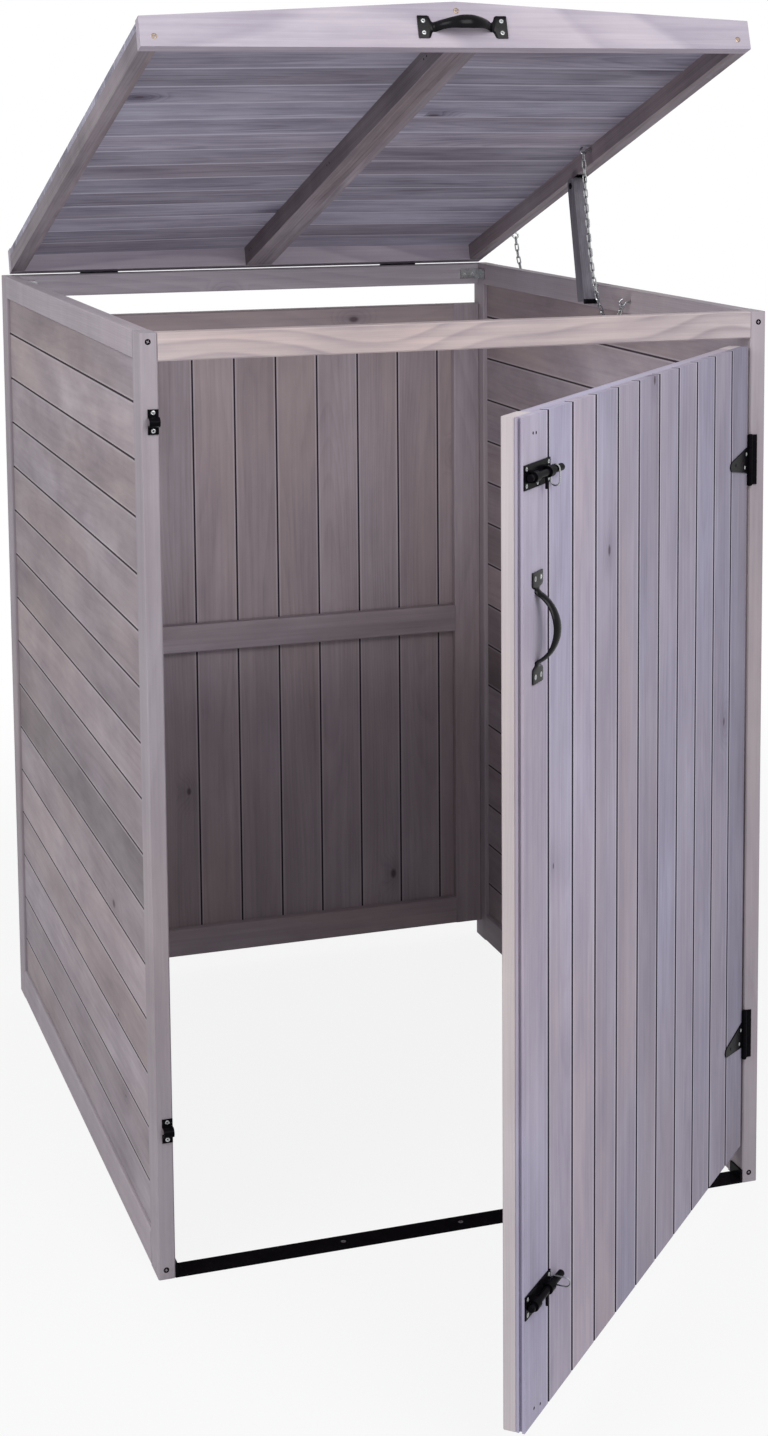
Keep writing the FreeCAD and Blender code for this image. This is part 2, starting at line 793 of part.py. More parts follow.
def lid_hinges():
    """Two butt hinges on the back faces of the back rail and the back fascia."""
    fixed, moving, pins = [], [], []
    knuckle, plate = "lid_knuckle_radius", "lid_leaf_thickness"
    start = f"({knuckle} + knuckle_play)"
    end = "(lid_hinge_length / 2 - lid_middle_knuckle / 2 - knuckle_play)"
    for sign in ("-1", "1"):
        centre = f"({sign} * ({HALF} - lid_hinge_from_side))"
        low_x = f"({centre} - lid_hinge_length / 2)"
        leaf = f"lid_leaf_height - {start}"
        bore = rod("lid_pin_radius + pin_play", "lid_hinge_length", "X", x=low_x)
        below = [block("lid_hinge_length", plate, leaf, x=low_x, y=f"-{knuckle}", z="-lid_leaf_height")]
        for x in (low_x, f"{centre} + lid_middle_knuckle / 2 + knuckle_play"):
            below.append(block(end, plate, start, x=x, y=f"-{knuckle}", z=f"-{start}"))
            below.append(rod(knuckle, end, "X", x=x))
        fixed.append(put(cut(fuse(*below), bore), frame="lid_axis"))
        middle = f"({centre} - lid_middle_knuckle / 2)"
        above = [
            block("lid_hinge_length", plate, leaf, x=low_x, y=f"-{knuckle}", z=start),
            block("lid_middle_knuckle", plate, start, x=middle, y=f"-{knuckle}"),
            rod(knuckle, "lid_middle_knuckle", "X", x=middle),
        ]
        bore = rod("lid_pin_radius + pin_play", "lid_hinge_length", "X", x=low_x)
        moving.append(put(cut(fuse(*above), bore), frame="lid"))
        pins.append(rod("lid_pin_radius", "lid_hinge_length", "X", x=low_x, frame="lid_axis"))
    node("lid_hinge_fixed_leaves", group(*fixed))
    node("lid_hinge_moving_leaves", group(*moving))
    node("lid_hinge_pins", group(*pins))


# Stay


# Where the stay turns, and how far below that its foot is, so that it stands on the peg
PIVOT_Y = f"({LID_Y} - stay_from_hinge * cos(lid_open) + {STAY_Z} * sin(lid_open))"
PIVOT_Z = f"({LID_Z} + stay_from_hinge * sin(lid_open) + {STAY_Z} * cos(lid_open))"
PEG_Z = "(store_height - peg_below_top)"
PEG_IN = "(peg_bite - peg_radius)"
FOOT_Z = f"({PEG_Z} + {PEG_IN} * tan(stay_lean) + (peg_radius + peg_gap) / cos(stay_lean))"
STAY_LENGTH = f"(({PIVOT_Z} + stay_depth / 2 * sin(stay_lean) - {FOOT_Z}) / cos(stay_lean))"


def stay():
    """The wooden stay, and the angle and pin that it hangs from."""
    body = new_body("lid_stay")
    half = "stay_depth / 2"
    section = new_sketch(body, "Shaft", "YZ_Plane")
    shaft = rectangle(section, f"(-{half})", f"(-{STAY_LENGTH})", "stay_depth", STAY_LENGTH)
    pad(body, shaft, "stay_width")
    pad(body, circle(new_sketch(body, "Head", "YZ_Plane"), 0, 0, half), "stay_width")
    doc.recompute()
    hole = body.newObject("PartDesign::Pocket", "PinHole")
    hole.Profile = circle(new_sketch(body, "PinHole", "YZ_Plane"), 0, 0, "stay_pin_radius + pin_play")
    hole.Type = "ThroughAll"
    hole.Midplane = True
    node("lid_stay", put(body, frame="stay"))

    ear_x = f"({STAY_X} + stay_width + stay_play)"
    ear_height = f"({LID_UNDER} - {STAY_Z} + stay_depth / 3)"
    leg = block(
        f"{ear_x} + bracket_thickness - {RAFTER_X}",
        "stay_bracket_depth",
        "bracket_thickness",
        x=RAFTER_X,
        y="-stay_from_hinge - stay_bracket_depth / 2",
        z=f"{LID_UNDER} - bracket_thickness",
    )
    ear = block(
        "bracket_thickness",
        "stay_bracket_depth",
        ear_height,
        x=ear_x,
        y="-stay_from_hinge - stay_bracket_depth / 2",
        z=f"{LID_UNDER} - {ear_height}",
    )
    axis = {"along": "X", "y": "-stay_from_hinge", "z": STAY_Z}
    bore = "stay_pin_radius + pin_play"
    hole = rod(bore, "3 * bracket_thickness", x=f"{ear_x} - bracket_thickness", **axis)
    node("stay_bracket", put(cut(fuse(leg, ear), hole), frame="lid"))
    pin = fuse(
        rod("stay_pin_radius", f"{ear_x} + bracket_thickness - {STAY_X}", x=STAY_X, **axis),
        rod("stay_pin_cap", "bracket_thickness", x=f"{STAY_X} - bracket_thickness", **axis),
    )
    node("stay_pin", put(pin, frame="lid"))


def stay_peg():
    """A steel peg in the right top rail, just clear of the front corner of the stay's foot."""
    corner_y = f"({PIVOT_Y} - {STAY_LENGTH} * sin(stay_lean) - stay_depth / 2 * cos(stay_lean))"
    peg = rod("peg_radius", f"{INNER} - {STAY_X}", "X", x=STAY_X, y=f"{corner_y} + {PEG_IN}", z=PEG_Z)
    node("stay_peg", peg)


# Bent wire: hooks, rings and chain links


def bent_wire(path, radius, closed):
    """A wire with flat sides along a path of points in XY, mitred at each point."""
    count, sides = len(path), WIRE_SIDE_COUNT
    rings = []
    for i, here in enumerate(path):
        before = path[i - 1] if closed or i else here - (path[1] - here)
        after = path[(i + 1) % count] if closed or i < count - 1 else here + (here - path[i - 1])
        into = (here - before).normalize()
        away = (after - here).normalize()
        across = V(-(into.y + away.y), into.x + away.x, 0).normalize()
        stretch = radius / across.dot(V(-into.y, into.x, 0))
        ring = []
        for k in range(sides):
            turn = 2 * math.pi * (k + 0.5) / sides
            ring.append(here + across * (stretch * math.cos(turn)) + V(0, 0, radius * math.sin(turn)))
        rings.append(ring)
    faces = []
    for i in range(count if closed else count - 1):
        one, two = rings[i], rings[(i + 1) % count]
        for k in range(sides):
            nxt = (k + 1) % sides
            corners = [one[k], one[nxt], two[nxt], two[k], one[k]]
            faces.append(Part.Face(Part.makePolygon(corners)))
    if not closed:
        for ring in (rings[0], rings[-1]):
            faces.append(Part.Face(Part.makePolygon(ring + ring[:1])))
    solid = Part.Solid(Part.Shell(faces))
    if solid.Volume < 0:
        solid.reverse()
    return solid


def arc_points(centre, radius, start, end, steps):
    """Points on an arc in XY, in degrees, both ends included."""
    angles = [math.radians(start + (end - start) * i / steps) for i in range(steps + 1)]
    return [centre + V(radius * math.cos(a), radius * math.sin(a), 0) for a in angles]


def ring_shape(half_length, half_width, wire):
    """A long ring in XY, its length along X, measured to the middle of the wire.

    Each round end is the outside of a polygon, so that no flat cuts into what the ring holds.
    """
    straight = half_length - half_width
    corner = half_width / math.cos(math.radians(90 / RING_FLAT_COUNT))
    path = []
    for side in (1, -1):
        start = 90 / RING_FLAT_COUNT - 90 * side
        stop = start + 180 - 180 / RING_FLAT_COUNT
        path += arc_points(V(side * straight, 0, 0), corner, start, stop, RING_FLAT_COUNT - 1)
    return bent_wire(path, wire, True)


def hook_shape(reach):
    """A screw hook in XY: a shank along X from the origin, then three quarters of a ring."""
    radius = size("hook_radius")
    bend = arc_points(V(reach + radius, 0, 0), radius, 180, 450, HOOK_FLAT_COUNT)
    return bent_wire([V(0, 0, 0)] + bend, size("hook_wire"), False)


def code_node(name, shape, where):
    """A sub-part whose shape is set here, with its placement given after the shape."""
    obj = doc.addObject("Part::Feature", name)
    obj.Shape = shape
    obj.Placement = where
    return node(name, obj)


def frame_of(text):
    """The placement that one of the frames comes to, read from an object that is bound to it."""
    marker = put(doc.addObject("Part::Box", "Marker"), frame=text)
    doc.recompute()
    where = marker.Placement
    doc.removeObject(marker.Name)
    return where


def axes(x_axis, y_axis, origin):
    """The placement that turns X and Y to these directions."""
    return FreeCAD.Placement(origin, FreeCAD.Rotation(x_axis, y_axis, x_axis.cross(y_axis), "XYZ"))


def catenary(start, end, length, at):
    """The points at the given lengths along a chain that hangs between two points."""
    run = math.hypot(end.x - start.x, end.y - start.y)
    drop = end.z - start.z
    need = math.sqrt(length**2 - drop**2)
    low, high = 1e-3, 50.0
    for _ in range(80):
        middle = (low + high) / 2
        if run * math.sinh(middle) / middle < need:
            low = middle
        else:
            high = middle
    span = run / (2 * low)
    lowest = run / 2 - span * math.asinh(drop / (2 * span * math.sinh(low)))
    flat = V(end.x - start.x, end.y - start.y, 0).normalize()
    begin = span * math.sinh(-lowest / span)
    found = []
    for distance in at:
        x = lowest + span * math.asinh((begin + distance) / span)
        z = start.z + span * (math.cosh((x - lowest) / span) - math.cosh(lowest / span))
        found.append(V(start.x, start.y, 0) + flat * x + V(0, 0, z))
    return found


def chain(name, start, end, spare):
    """Closed links in a row from one hook's wire to another's, each a quarter turn from the last.

    There is an odd number of links, so that both end links hang alike, and spare says how much
    longer the chain is than the way between its hooks.
    """
    pitch, wire, play = size("link_pitch"), size("link_wire"), size("link_play") / 2
    inside = pitch / 2 + play
    lead = pitch / 2 + size("hook_wire") + play - inside
    links = 2 * round((spare * (end - start).Length / pitch - 1) / 2) + 1
    link = ring_shape(inside + wire, size("link_width") / 2 - wire, wire)
    steps = [k * pitch - lead for k in range(links + 1)]
    points = catenary(start, end, links * pitch - 2 * lead, steps)
    solids = []
    for i in range(links):
        along = (points[i + 1] - points[i]).normalize()
        across = V(1, 0, 0).cross(along).normalize()
        if i % 2:
            across = along.cross(across)
        copy = link.copy()
        copy.Placement = axes(along, across, (points[i] + points[i + 1]) / 2)
        solids.append(copy)
    code_node(name, Part.makeCompound(solids), FreeCAD.Placement())


def hooks_and_chains():
    """A slack chain from the lid to the inside of the right wall, and a short one outside it."""
    lid_frame = frame_of("lid")
    store = FreeCAD.Placement()
    outer = size("store_width") / 2
    inner = outer - size("post_thickness")
    lid_side = outer - size("lid_side_inset")
    rafter = lid_side - size("rafter_thickness")
    hinge_line = lid_frame.Base.y
    rail = size("store_height") - size("top_rail_height") / 2
    radius = size("hook_radius")
    under = size("lid_seat_gap") / 2
    reach, rear_reach = size("hook_reach"), size("rear_hook_reach")
    lid_root = V(rafter, -size("lid_hook_from_hinge"), under + size("lid_hook_rise"))
    wall_root = V(inner, hinge_line - size("wall_hook_from_hinge"), rail)
    rear_root = V(lid_side, -size("rear_hook_from_hinge"), under + size("rear_hook_rise"))
    outer_root = V(outer, hinge_line - size("outer_hook_from_hinge"), rail)
    seats = {}
    for name, frame, root, side, length in (
        ("lid_chain_hook", lid_frame, lid_root, -1, reach),
        ("wall_chain_hook", store, wall_root, -1, reach),
        ("rear_chain_hook", lid_frame, rear_root, 1, rear_reach),
        ("outer_wall_hook", store, outer_root, 1, reach),
    ):
        where = frame.multiply(axes(V(side, 0, 0), V(0, 0, 1), root))
        code_node(name, hook_shape(length), where)
        seats[name] = where.multVec(V(length + radius, -radius, 0))
    chain("front_chain", seats["lid_chain_hook"], seats["wall_chain_hook"], size("chain_spare"))
    chain("rear_chain", seats["rear_chain_hook"], seats["outer_wall_hook"], size("rear_chain_spare"))


def bolt_rings():
    """A loose steel ring on the tail of each rod: the upper one hangs, the lower one stands out."""
    door = frame_of("door")
    wire = size("ring_wire")
    half_length, half_width = size("ring_length") / 2, size("ring_half_width")
    ring = ring_shape(half_length - wire, half_width - wire / 2, wire)
    width = size("store_width") - 2 * size("post_thickness") - 2 * size("door_side_gap")
    edge = -size("door_side_gap") / 2 - width
    x = edge + size("bolt_plate_length") + 2 * wire
    y = size("knuckle_radius") - size("steel_thickness") - size("rod_clearance") - size("rod_radius")
    shift = half_length - 2 * wire - size("rod_radius") - size("link_play")
    door_top = size("store_height") - size("top_rail_height") - size("door_top_gap")
    hanging = axes(V(0, 0, -1), V(0, 1, 0), V(x, y, door_top - size("bolt_from_top") - shift))
    low = size("door_bottom") + size("bolt_from_bottom")
    standing_out = axes(V(0, -1, 0), V(0, 0, 1), V(x, y - shift, low))
    rings = []
    for where in (hanging, standing_out):
        copy = ring.copy()
        copy.Placement = door.multiply(where)
        rings.append(copy)
    code_node("bolt_rings", Part.makeCompound(rings), FreeCAD.Placement())


side_panel("left")
side_panel("right")
cross_rails()
panel(
    {"boards": "back_panel_boards", "stiles": ["back_panel_stiles"], "rails": "back_panel_rails"},
    f"(2 * {INNER})",
    f"(-{INNER})",
    BACK,
    "back_panel_bottom",
    True,
    "store",
)
threshold()
corner_brackets()
panel(
    {"boards": "door_boards", "stiles": ["door_latch_stile", "door_hinge_stile"], "rails": "door_rails"},
    DOOR_WIDTH,
    f"(-{DOOR_EDGE} - {DOOR_WIDTH})",
    "knuckle_radius",
    "door_bottom",
    False,
    "door",
)
node("door_hinge_pins", group(*[door_hinge(level, height) for level, height in HINGE_HEIGHTS.items()]))
for level, height in BOLT_HEIGHTS.items():
    bolt(level, height)
keepers()
handle(
    "door_pull",
    x=f"-{DOOR_EDGE} - {DOOR_WIDTH} + pull_inset",
    y="knuckle_radius",
    z=f"{DOOR_TOP} - pull_from_top",
    axis=(0, 1, 0),
    angle=90,
    frame="door",
)
lid()
lid_hinges()
handle(
    "lid_handle",
    x="lid_seam_shift",
    y=LID_FACE,
    z=f"{LID_UNDER} + lid_handle_rise",
    frame="lid",
)
stay()
stay_peg()
doc.recompute()
hooks_and_chains()
bolt_rings()
doc.recompute()

for obj in doc.Objects:
    if "Invalid" in obj.State or "Error" in obj.State:
        raise RuntimeError(f"{obj.Label} is {obj.State}")
for name, obj in nodes.items():
    if obj.Shape.isNull() or not obj.Shape.isValid():
        raise RuntimeError(f"{name} has no valid shape")

os.makedirs("parts", exist_ok=True)
for name, obj in nodes.items():
    obj.Shape.exportStep(os.path.join("parts", name + ".step"))
print(len(nodes), "sub-parts")
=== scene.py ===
import math

import bmesh
import bpy
import numpy as np
from mathutils import Matrix, Vector


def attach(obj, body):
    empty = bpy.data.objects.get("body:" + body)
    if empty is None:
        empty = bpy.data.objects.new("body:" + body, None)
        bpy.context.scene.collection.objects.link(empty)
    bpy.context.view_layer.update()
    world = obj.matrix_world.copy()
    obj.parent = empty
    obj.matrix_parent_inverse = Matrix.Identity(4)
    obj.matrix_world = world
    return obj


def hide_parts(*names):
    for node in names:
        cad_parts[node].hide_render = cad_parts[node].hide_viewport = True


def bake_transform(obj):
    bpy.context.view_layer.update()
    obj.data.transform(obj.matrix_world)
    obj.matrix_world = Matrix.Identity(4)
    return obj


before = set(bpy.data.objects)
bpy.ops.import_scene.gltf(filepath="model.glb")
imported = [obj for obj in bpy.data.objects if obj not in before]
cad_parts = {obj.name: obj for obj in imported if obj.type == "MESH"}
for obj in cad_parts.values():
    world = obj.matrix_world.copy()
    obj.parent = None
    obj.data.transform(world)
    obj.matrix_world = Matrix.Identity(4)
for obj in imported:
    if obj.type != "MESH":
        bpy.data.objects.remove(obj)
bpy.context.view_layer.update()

# Where the store's own directions are: metres, X right, Y back, Z up, as in the frame.
# The door turns about its pin and the lid about its hinge line; the model rests with both open.
DOOR_OPEN = math.radians(47.2)
LID_OPEN = math.radians(17.8)
DOOR_PIN = (0.383, -0.0195, 0.0)
LID_LINE = (0.0, 1.041, 1.16515)
STORE = Matrix.Identity(4)
DOOR = Matrix.Translation(DOOR_PIN) @ Matrix.Rotation(DOOR_OPEN, 4, "Z")
LID = Matrix.Translation(LID_LINE) @ Matrix.Rotation(-LID_OPEN, 4, "X")

# The store: half its width outside and inside, the front of its posts, its height, and its boards
HALF_WIDTH = 0.405
INNER = 0.384
FRONT = -0.016
HEIGHT = 1.165
BOARD_PITCH = 0.0698
# The door's width and outer face, and the lid's front face and half its width, each in its own directions
DOOR_WIDTH = 0.764
DOOR_FACE = 0.0035
LID_FACE = -1.086
LID_HALF = 0.392


def colour(code):
    """An sRGB hex colour as linear red, green, blue and alpha."""
    channels = np.array([int(code[i : i + 2], 16) for i in (1, 3, 5)]) / 255
    linear = np.where(channels <= 0.04045, channels / 12.92, ((channels + 0.055) / 1.055) ** 2.4)
    return (*linear.tolist(), 1.0)


def add(tree, kind, inputs=None, **settings):
    """Adds a node, sets it, and sets or links its inputs, which are given by name or number."""
    node = tree.nodes.new("ShaderNode" + kind)
    for name, value in settings.items():
        setattr(node, name, value)
    for key, value in (inputs or {}).items():
        if isinstance(value, bpy.types.Node):
            value = value.outputs[0]
        if isinstance(value, bpy.types.NodeSocket):
            tree.links.new(value, node.inputs[key])
        else:
            node.inputs[key].default_value = value
    return node


def new_material(name):
    """A material with an empty tree, its shader and its output."""
    material = bpy.data.materials.new(name)
    material.use_nodes = True
    tree = material.node_tree
    tree.nodes.clear()
    shader = add(tree, "BsdfPrincipled")
    add(tree, "OutputMaterial", {"Surface": shader})
    return material, tree, shader


def dress(tree, shader, tone, rough, relief):
    """Links what a shader's base colour, roughness and normal come from."""
    for key, socket in (("Base Color", tone), ("Roughness", rough), ("Normal", relief)):
        tree.links.new(socket, shader.inputs[key])


# Materials

KNOT_TONE = "#4c4046"
# What is taken off the brightness of the one dark board, and how wide the painted highlight is on a board's
# edge beside a joint
DARK_BOARD = -0.46
EDGE_HIGHLIGHT_WIDTH = 0.003


def spruce(
    name, shades, run, cell, start, place=None, seed=0.0, joint=0.0, boards=0,
    knots=0.5, figure=1.0, patchy=1.0, dark=None, fade=0.0,
    ring=0.0032, loops=0.16, wander=0.12, differ=0.07, seam="#2c2530",
):
    """Planed spruce under a thin grey stain: fine straight growth rings and fibres show through it,
    it lies in cloudy patches, each board took it differently, and small knots stay dark. Half matt.

    shades are the pale, deep and warm tone of the stain and the tone of the painted highlight on a board's
    edge beside a joint. run names the axes along, across and through the timber. Timbers repeat across
    it every cell metres from start, and each has its own shade and its own place in the log, which also
    hang on seed. place is where the piece's own directions are, if they aren't the store's. joint is half
    the width of the dark vee between two of so many boards, and seam the colour in it. knots is the share
    of possible knots that are there, figure how strongly the wood shows through, and patchy how cloudy the
    stain lies. dark is the number of the one dark board, fade how much duller each board is than the one
    before it, partly its own stain and partly painted shade, and differ how unlike the boards are. ring
    is the width of a growth ring, loops how plainly rings show, and wander how soon the grain turns.
    """
    pale, deep, warm, highlight_tone = (colour(code) for code in shades)
    material, tree, shader = new_material(name)

    def maths(operation, *values):
        return add(tree, "Math", dict(enumerate(values)), operation=operation)

    def blended(factor, low, high):
        return add(tree, "Mix", {0: factor, 6: low, 7: high}, data_type="RGBA").outputs[2]

    point = add(tree, "TexCoord").outputs["Object"]
    if place:
        where, turn = place
        inputs = {"Vector": point, "Location": where, "Rotation": turn}
        point = add(tree, "Mapping", inputs, vector_type="TEXTURE")
    axes = dict(zip("XYZ", add(tree, "SeparateXYZ", {0: point}).outputs))
    along, across, through = (axes[letter] for letter in run)

    count = maths("DIVIDE", maths("SUBTRACT", across, start), cell)
    board, within = maths("FLOOR", count), maths("FRACT", count)
    own = add(tree, "TexWhiteNoise", {"W": maths("ADD", board, seed)}, noise_dimensions="1D")
    own_1, own_2, own_3 = add(tree, "SeparateColor", {0: own.outputs["Color"]}).outputs
    log_shift = maths("MULTIPLY", own_1, 40.0)

    # Knots: one point in each quarter metre of a board, some of them left out
    knot_step = 0.26
    knot_along = maths("MULTIPLY_ADD", along, 1 / knot_step, log_shift)
    knot_across = maths("MULTIPLY_ADD", across, 1 / knot_step, log_shift)
    knot_grid = add(tree, "CombineXYZ", {0: knot_along, 1: knot_across, 2: board})
    knot_cell = add(tree, "TexVoronoi", {"Vector": knot_grid, "Scale": 1.0}, voronoi_dimensions="2D")
    apart = add(tree, "VectorMath", {0: knot_grid, 1: knot_cell.outputs["Position"]}, operation="SUBTRACT")
    apart = add(tree, "VectorMath", {0: apart, 1: (0.6, 1.0, 0.0)}, operation="MULTIPLY")
    reach = add(tree, "VectorMath", {0: apart}, operation="LENGTH").outputs["Value"]
    chosen = add(tree, "SeparateColor", {0: knot_cell.outputs["Color"]}).outputs
    left_out = maths("GREATER_THAN", chosen[0], knots)
    reach = maths("ADD", left_out, maths("MULTIPLY", reach, knot_step))
    knot_size = add(tree, "MapRange", {0: chosen[1], 3: 0.0016, 4: 0.0056})
    knot = add(tree, "MapRange", {0: maths("DIVIDE", reach, knot_size), 1: 1.3, 2: 0.6, 3: 0.0, 4: 0.9})
    halo = add(tree, "MapRange", {0: reach, 1: 0.03, 2: 0.0}, interpolation_type="SMOOTHSTEP")

    # Growth rings about a heart beside the board, one ring apart, pushed aside round each knot
    heart_side = add(tree, "MapRange", {0: own_2, 3: -0.06, 4: 0.06})
    side = maths("MULTIPLY_ADD", maths("SUBTRACT", within, 0.5), min(cell, 0.1), heart_side)
    heart_deep = add(tree, "MapRange", {0: own_3, 3: 0.03, 4: 0.09})
    depth = maths("FRACT", maths("ADD", through, heart_deep))
    slow = add(tree, "CombineXYZ", {0: side, 1: maths("MULTIPLY", along, wander), 2: log_shift})
    lean = add(tree, "TexNoise", {"Vector": slow, "Scale": 8.0, "Detail": 2.0, "Roughness": 0.4})
    lean = add(tree, "MapRange", {0: lean, 3: -0.03, 4: 0.03})
    section = add(tree, "CombineXYZ", {0: side, 1: depth})
    from_heart = add(tree, "VectorMath", {0: section}, operation="LENGTH")
    from_heart = maths("ADD", from_heart.outputs["Value"], maths("MULTIPLY_ADD", halo, 0.012, lean))
    grown = maths("FRACT", maths("DIVIDE", from_heart, ring))
    late = add(tree, "MapRange", {0: grown, 1: 1.0, 2: 0.85, 3: 0.0, 4: maths("POWER", grown, 2.0)})

    # Fibres 1.5 mm across and streaks 8 mm across, both fifty times as long
    fibre_at = add(tree, "CombineXYZ", {0: across, 1: maths("MULTIPLY", along, 0.02), 2: through})
    fibre = add(tree, "TexNoise", {"Vector": fibre_at, "Scale": 640.0, "Detail": 2.0})
    streak = add(tree, "TexNoise", {"Vector": fibre_at, "Scale": 130.0, "Detail": 3.0, "Roughness": 0.6})

    # Patches 80 mm across and three times as long where the stain is thick or thin, and wider warm ones
    cloud_at = add(tree, "CombineXYZ", {0: maths("MULTIPLY", along, 0.34), 1: across, 2: log_shift})
    cloud = add(tree, "TexNoise", {"Vector": cloud_at, "Scale": 13.0, "Detail": 5.0, "Roughness": 0.62})
    warmth = add(tree, "TexNoise", {"Vector": cloud_at, "Scale": 5.0, "Detail": 2.0})

    # The share of the deep tone: each part adds to it, from a start that brings the mean to about a half
    base = 0.5 - (0.42 + loops / 4) * figure - 0.45 * patchy
    tone = maths("MULTIPLY_ADD", late, loops * figure, base)
    tone = maths("MULTIPLY_ADD", fibre, 0.24 * figure, tone)
    tone = maths("MULTIPLY_ADD", streak, 0.6 * figure, tone)
    tone = maths("MULTIPLY_ADD", cloud, 0.9 * patchy, tone)
    tone = maths("MULTIPLY_ADD", halo, 0.3 * figure, tone)
    tone = add(tree, "Clamp", {0: tone})
    stain = blended(tone, pale, deep)
    warm_part = maths("MULTIPLY_ADD", own_3, 0.2, warmth)
    warm_part = add(tree, "MapRange", {0: warm_part, 1: 0.42, 2: 0.8})
    stain = blended(warm_part, stain, blended(tone, warm, deep))
    shade = add(tree, "MapRange", {0: own.outputs["Value"], 3: 1.0 - differ, 4: 1.0 + differ})
    # Each board duller than the one before it: partly the boards' own stain, partly painted shade falling
    # off across the face
    if fade:
        shade = maths("MULTIPLY_ADD", board, -fade, shade)
    if dark is not None:
        shade = maths("MULTIPLY_ADD", maths("COMPARE", board, float(dark), 0.5), DARK_BOARD, shade)
    stain = add(tree, "HueSaturation", {"Value": shade, "Color": stain}).outputs[0]
    stain = blended(knot, stain, colour(KNOT_TONE))
    if joint:
        nearest = maths("ROUND", count)
        near = maths("MULTIPLY", maths("ABSOLUTE", maths("SUBTRACT", count, nearest)), cell)
        outer = maths("COMPARE", nearest, boards / 2, boards / 2 - 0.5)
        near = maths("ADD", near, maths("SUBTRACT", 1.0, outer))
        # Painted highlight: a pale band on each board's edge beside the joint
        edge_highlight = add(tree, "MapRange", {0: near, 1: joint + EDGE_HIGHLIGHT_WIDTH, 2: joint, 3: 0.0, 4: 0.5})
        stain = blended(edge_highlight, stain, highlight_tone)
        shut = add(tree, "MapRange", {0: near, 1: joint, 2: joint * 0.7})
        stain = blended(shut, stain, colour(seam))
    rough = add(tree, "MapRange", {0: cloud, 3: 0.55, 4: 0.75})
    if joint:
        rough = maths("MAXIMUM", rough, shut)
    relief = maths("MULTIPLY_ADD", late, -0.4, fibre)
    relief = add(tree, "Bump", {"Height": relief, "Strength": 0.35, "Distance": 0.0004})
    dress(tree, shader, stain, rough.outputs[0], relief.outputs[0])
    shader.inputs["Specular IOR Level"].default_value = 0.2
    return material


def black_paint(name, gloss):
    """Pressed mild steel in stoved black paint: nearly black, as glossy as gloss says, with a faint
    orange peel 2 mm across and duller patches where hands and dust have been."""
    material, tree, shader = new_material(name)
    point = add(tree, "TexCoord").outputs["Object"]
    peel = add(tree, "TexNoise", {"Vector": point, "Scale": 500.0, "Detail": 1.0})
    dull = add(tree, "TexNoise", {"Vector": point, "Scale": 60.0, "Detail": 3.0})
    tone = add(tree, "Mix", {0: dull, 6: colour("#060508"), 7: colour("#121014")}, data_type="RGBA")
    rough = add(tree, "MapRange", {0: dull, 3: 0.12, 4: 0.3})
    relief = add(tree, "Bump", {"Height": peel, "Strength": 0.25, "Distance": 0.0002})
    dress(tree, shader, tone.outputs[2], rough.outputs[0], relief.outputs[0])
    shader.inputs["Specular IOR Level"].default_value = gloss
    return material


def zinc_plate(name, clean, dulled):
    """Steel wire, strip and screws with zinc plating: a metal with a fine spangle and the clean tone,
    and smears of the dulled one where the plating is thin."""
    material, tree, shader = new_material(name)
    point = add(tree, "TexCoord").outputs["Object"]
    spangle = add(tree, "TexVoronoi", {"Vector": point, "Scale": 700.0})
    smear = add(tree, "TexNoise", {"Vector": point, "Scale": 140.0, "Detail": 2.0})
    tone = add(tree, "Mix", {0: smear, 6: colour(clean), 7: colour(dulled)}, data_type="RGBA")
    rough = add(tree, "MapRange", {0: smear, 3: 0.18, 4: 0.4})
    relief = add(tree, "Bump", {"Height": spangle, "Strength": 0.15, "Distance": 0.0001})
    dress(tree, shader, tone.outputs[2], rough.outputs[0], relief.outputs[0])
    shader.inputs["Metallic"].default_value = 1.0
    return material


DOOR_PLACE = (DOOR_PIN, (0.0, 0.0, DOOR_OPEN))
LID_PLACE = (LID_LINE, (-LID_OPEN, 0.0, 0.0))
BLACK = black_paint("black_stoved_steel", 0.015)
HANDLE_BLACK = black_paint("black_handle_steel", 0.1)
ZINC = zinc_plate("zinc_plated_steel", "#c6c8ca", "#7d7e80")
BRASSY = zinc_plate("yellow_zinc_steel", "#a08e7c", "#6e5f56")

# Each palette: the pale, deep and warm tone of the stain, and the tone of the painted highlight beside a
# joint
LILAC = ("#b8b4cc", "#878093", "#b9acb4", "#d4ceda")
POST = ("#b1aab3", "#8a8189", "#b1a6a8", "#cbc3c8")
PINK = ("#c8c0c5", "#998e93", "#c9b5ae", "#e0d7d8")
EDGE = ("#ccc5c9", "#a79fa4", "#cabfbe", "#ded8da")
BROWN = ("#b2a9b1", "#7a7077", "#ab9c9c", "#c0b8be")
# The lid boards' stain, set lighter to paint fill light onto the underside, which lies in shade
UNDERSIDE_PAINTED_LIGHTER = ("#b6b4c6", "#625d6e", "#a19aa6", "#cfcddb")
PALE = ("#b9b3bf", "#8e8695", "#b6acb3", "#dad5dd")
# The post palette, a little darker in its warm and highlight tones: painted shade on the back rail, under
# the lid
BACK_RAIL_IN_PAINTED_SHADE = ("#b1aab3", "#88808a", "#aa9fa5", "#c4bcc3")
# A darker copy of the stain: painted shade on the rafters, under the lid
RAFTER_IN_PAINTED_SHADE = ("#9c949c", "#5f575e", "#94888b", "#b2abb3")
STAY = ("#85828b", "#4c4952", "#7d7780", "#9a96a0")

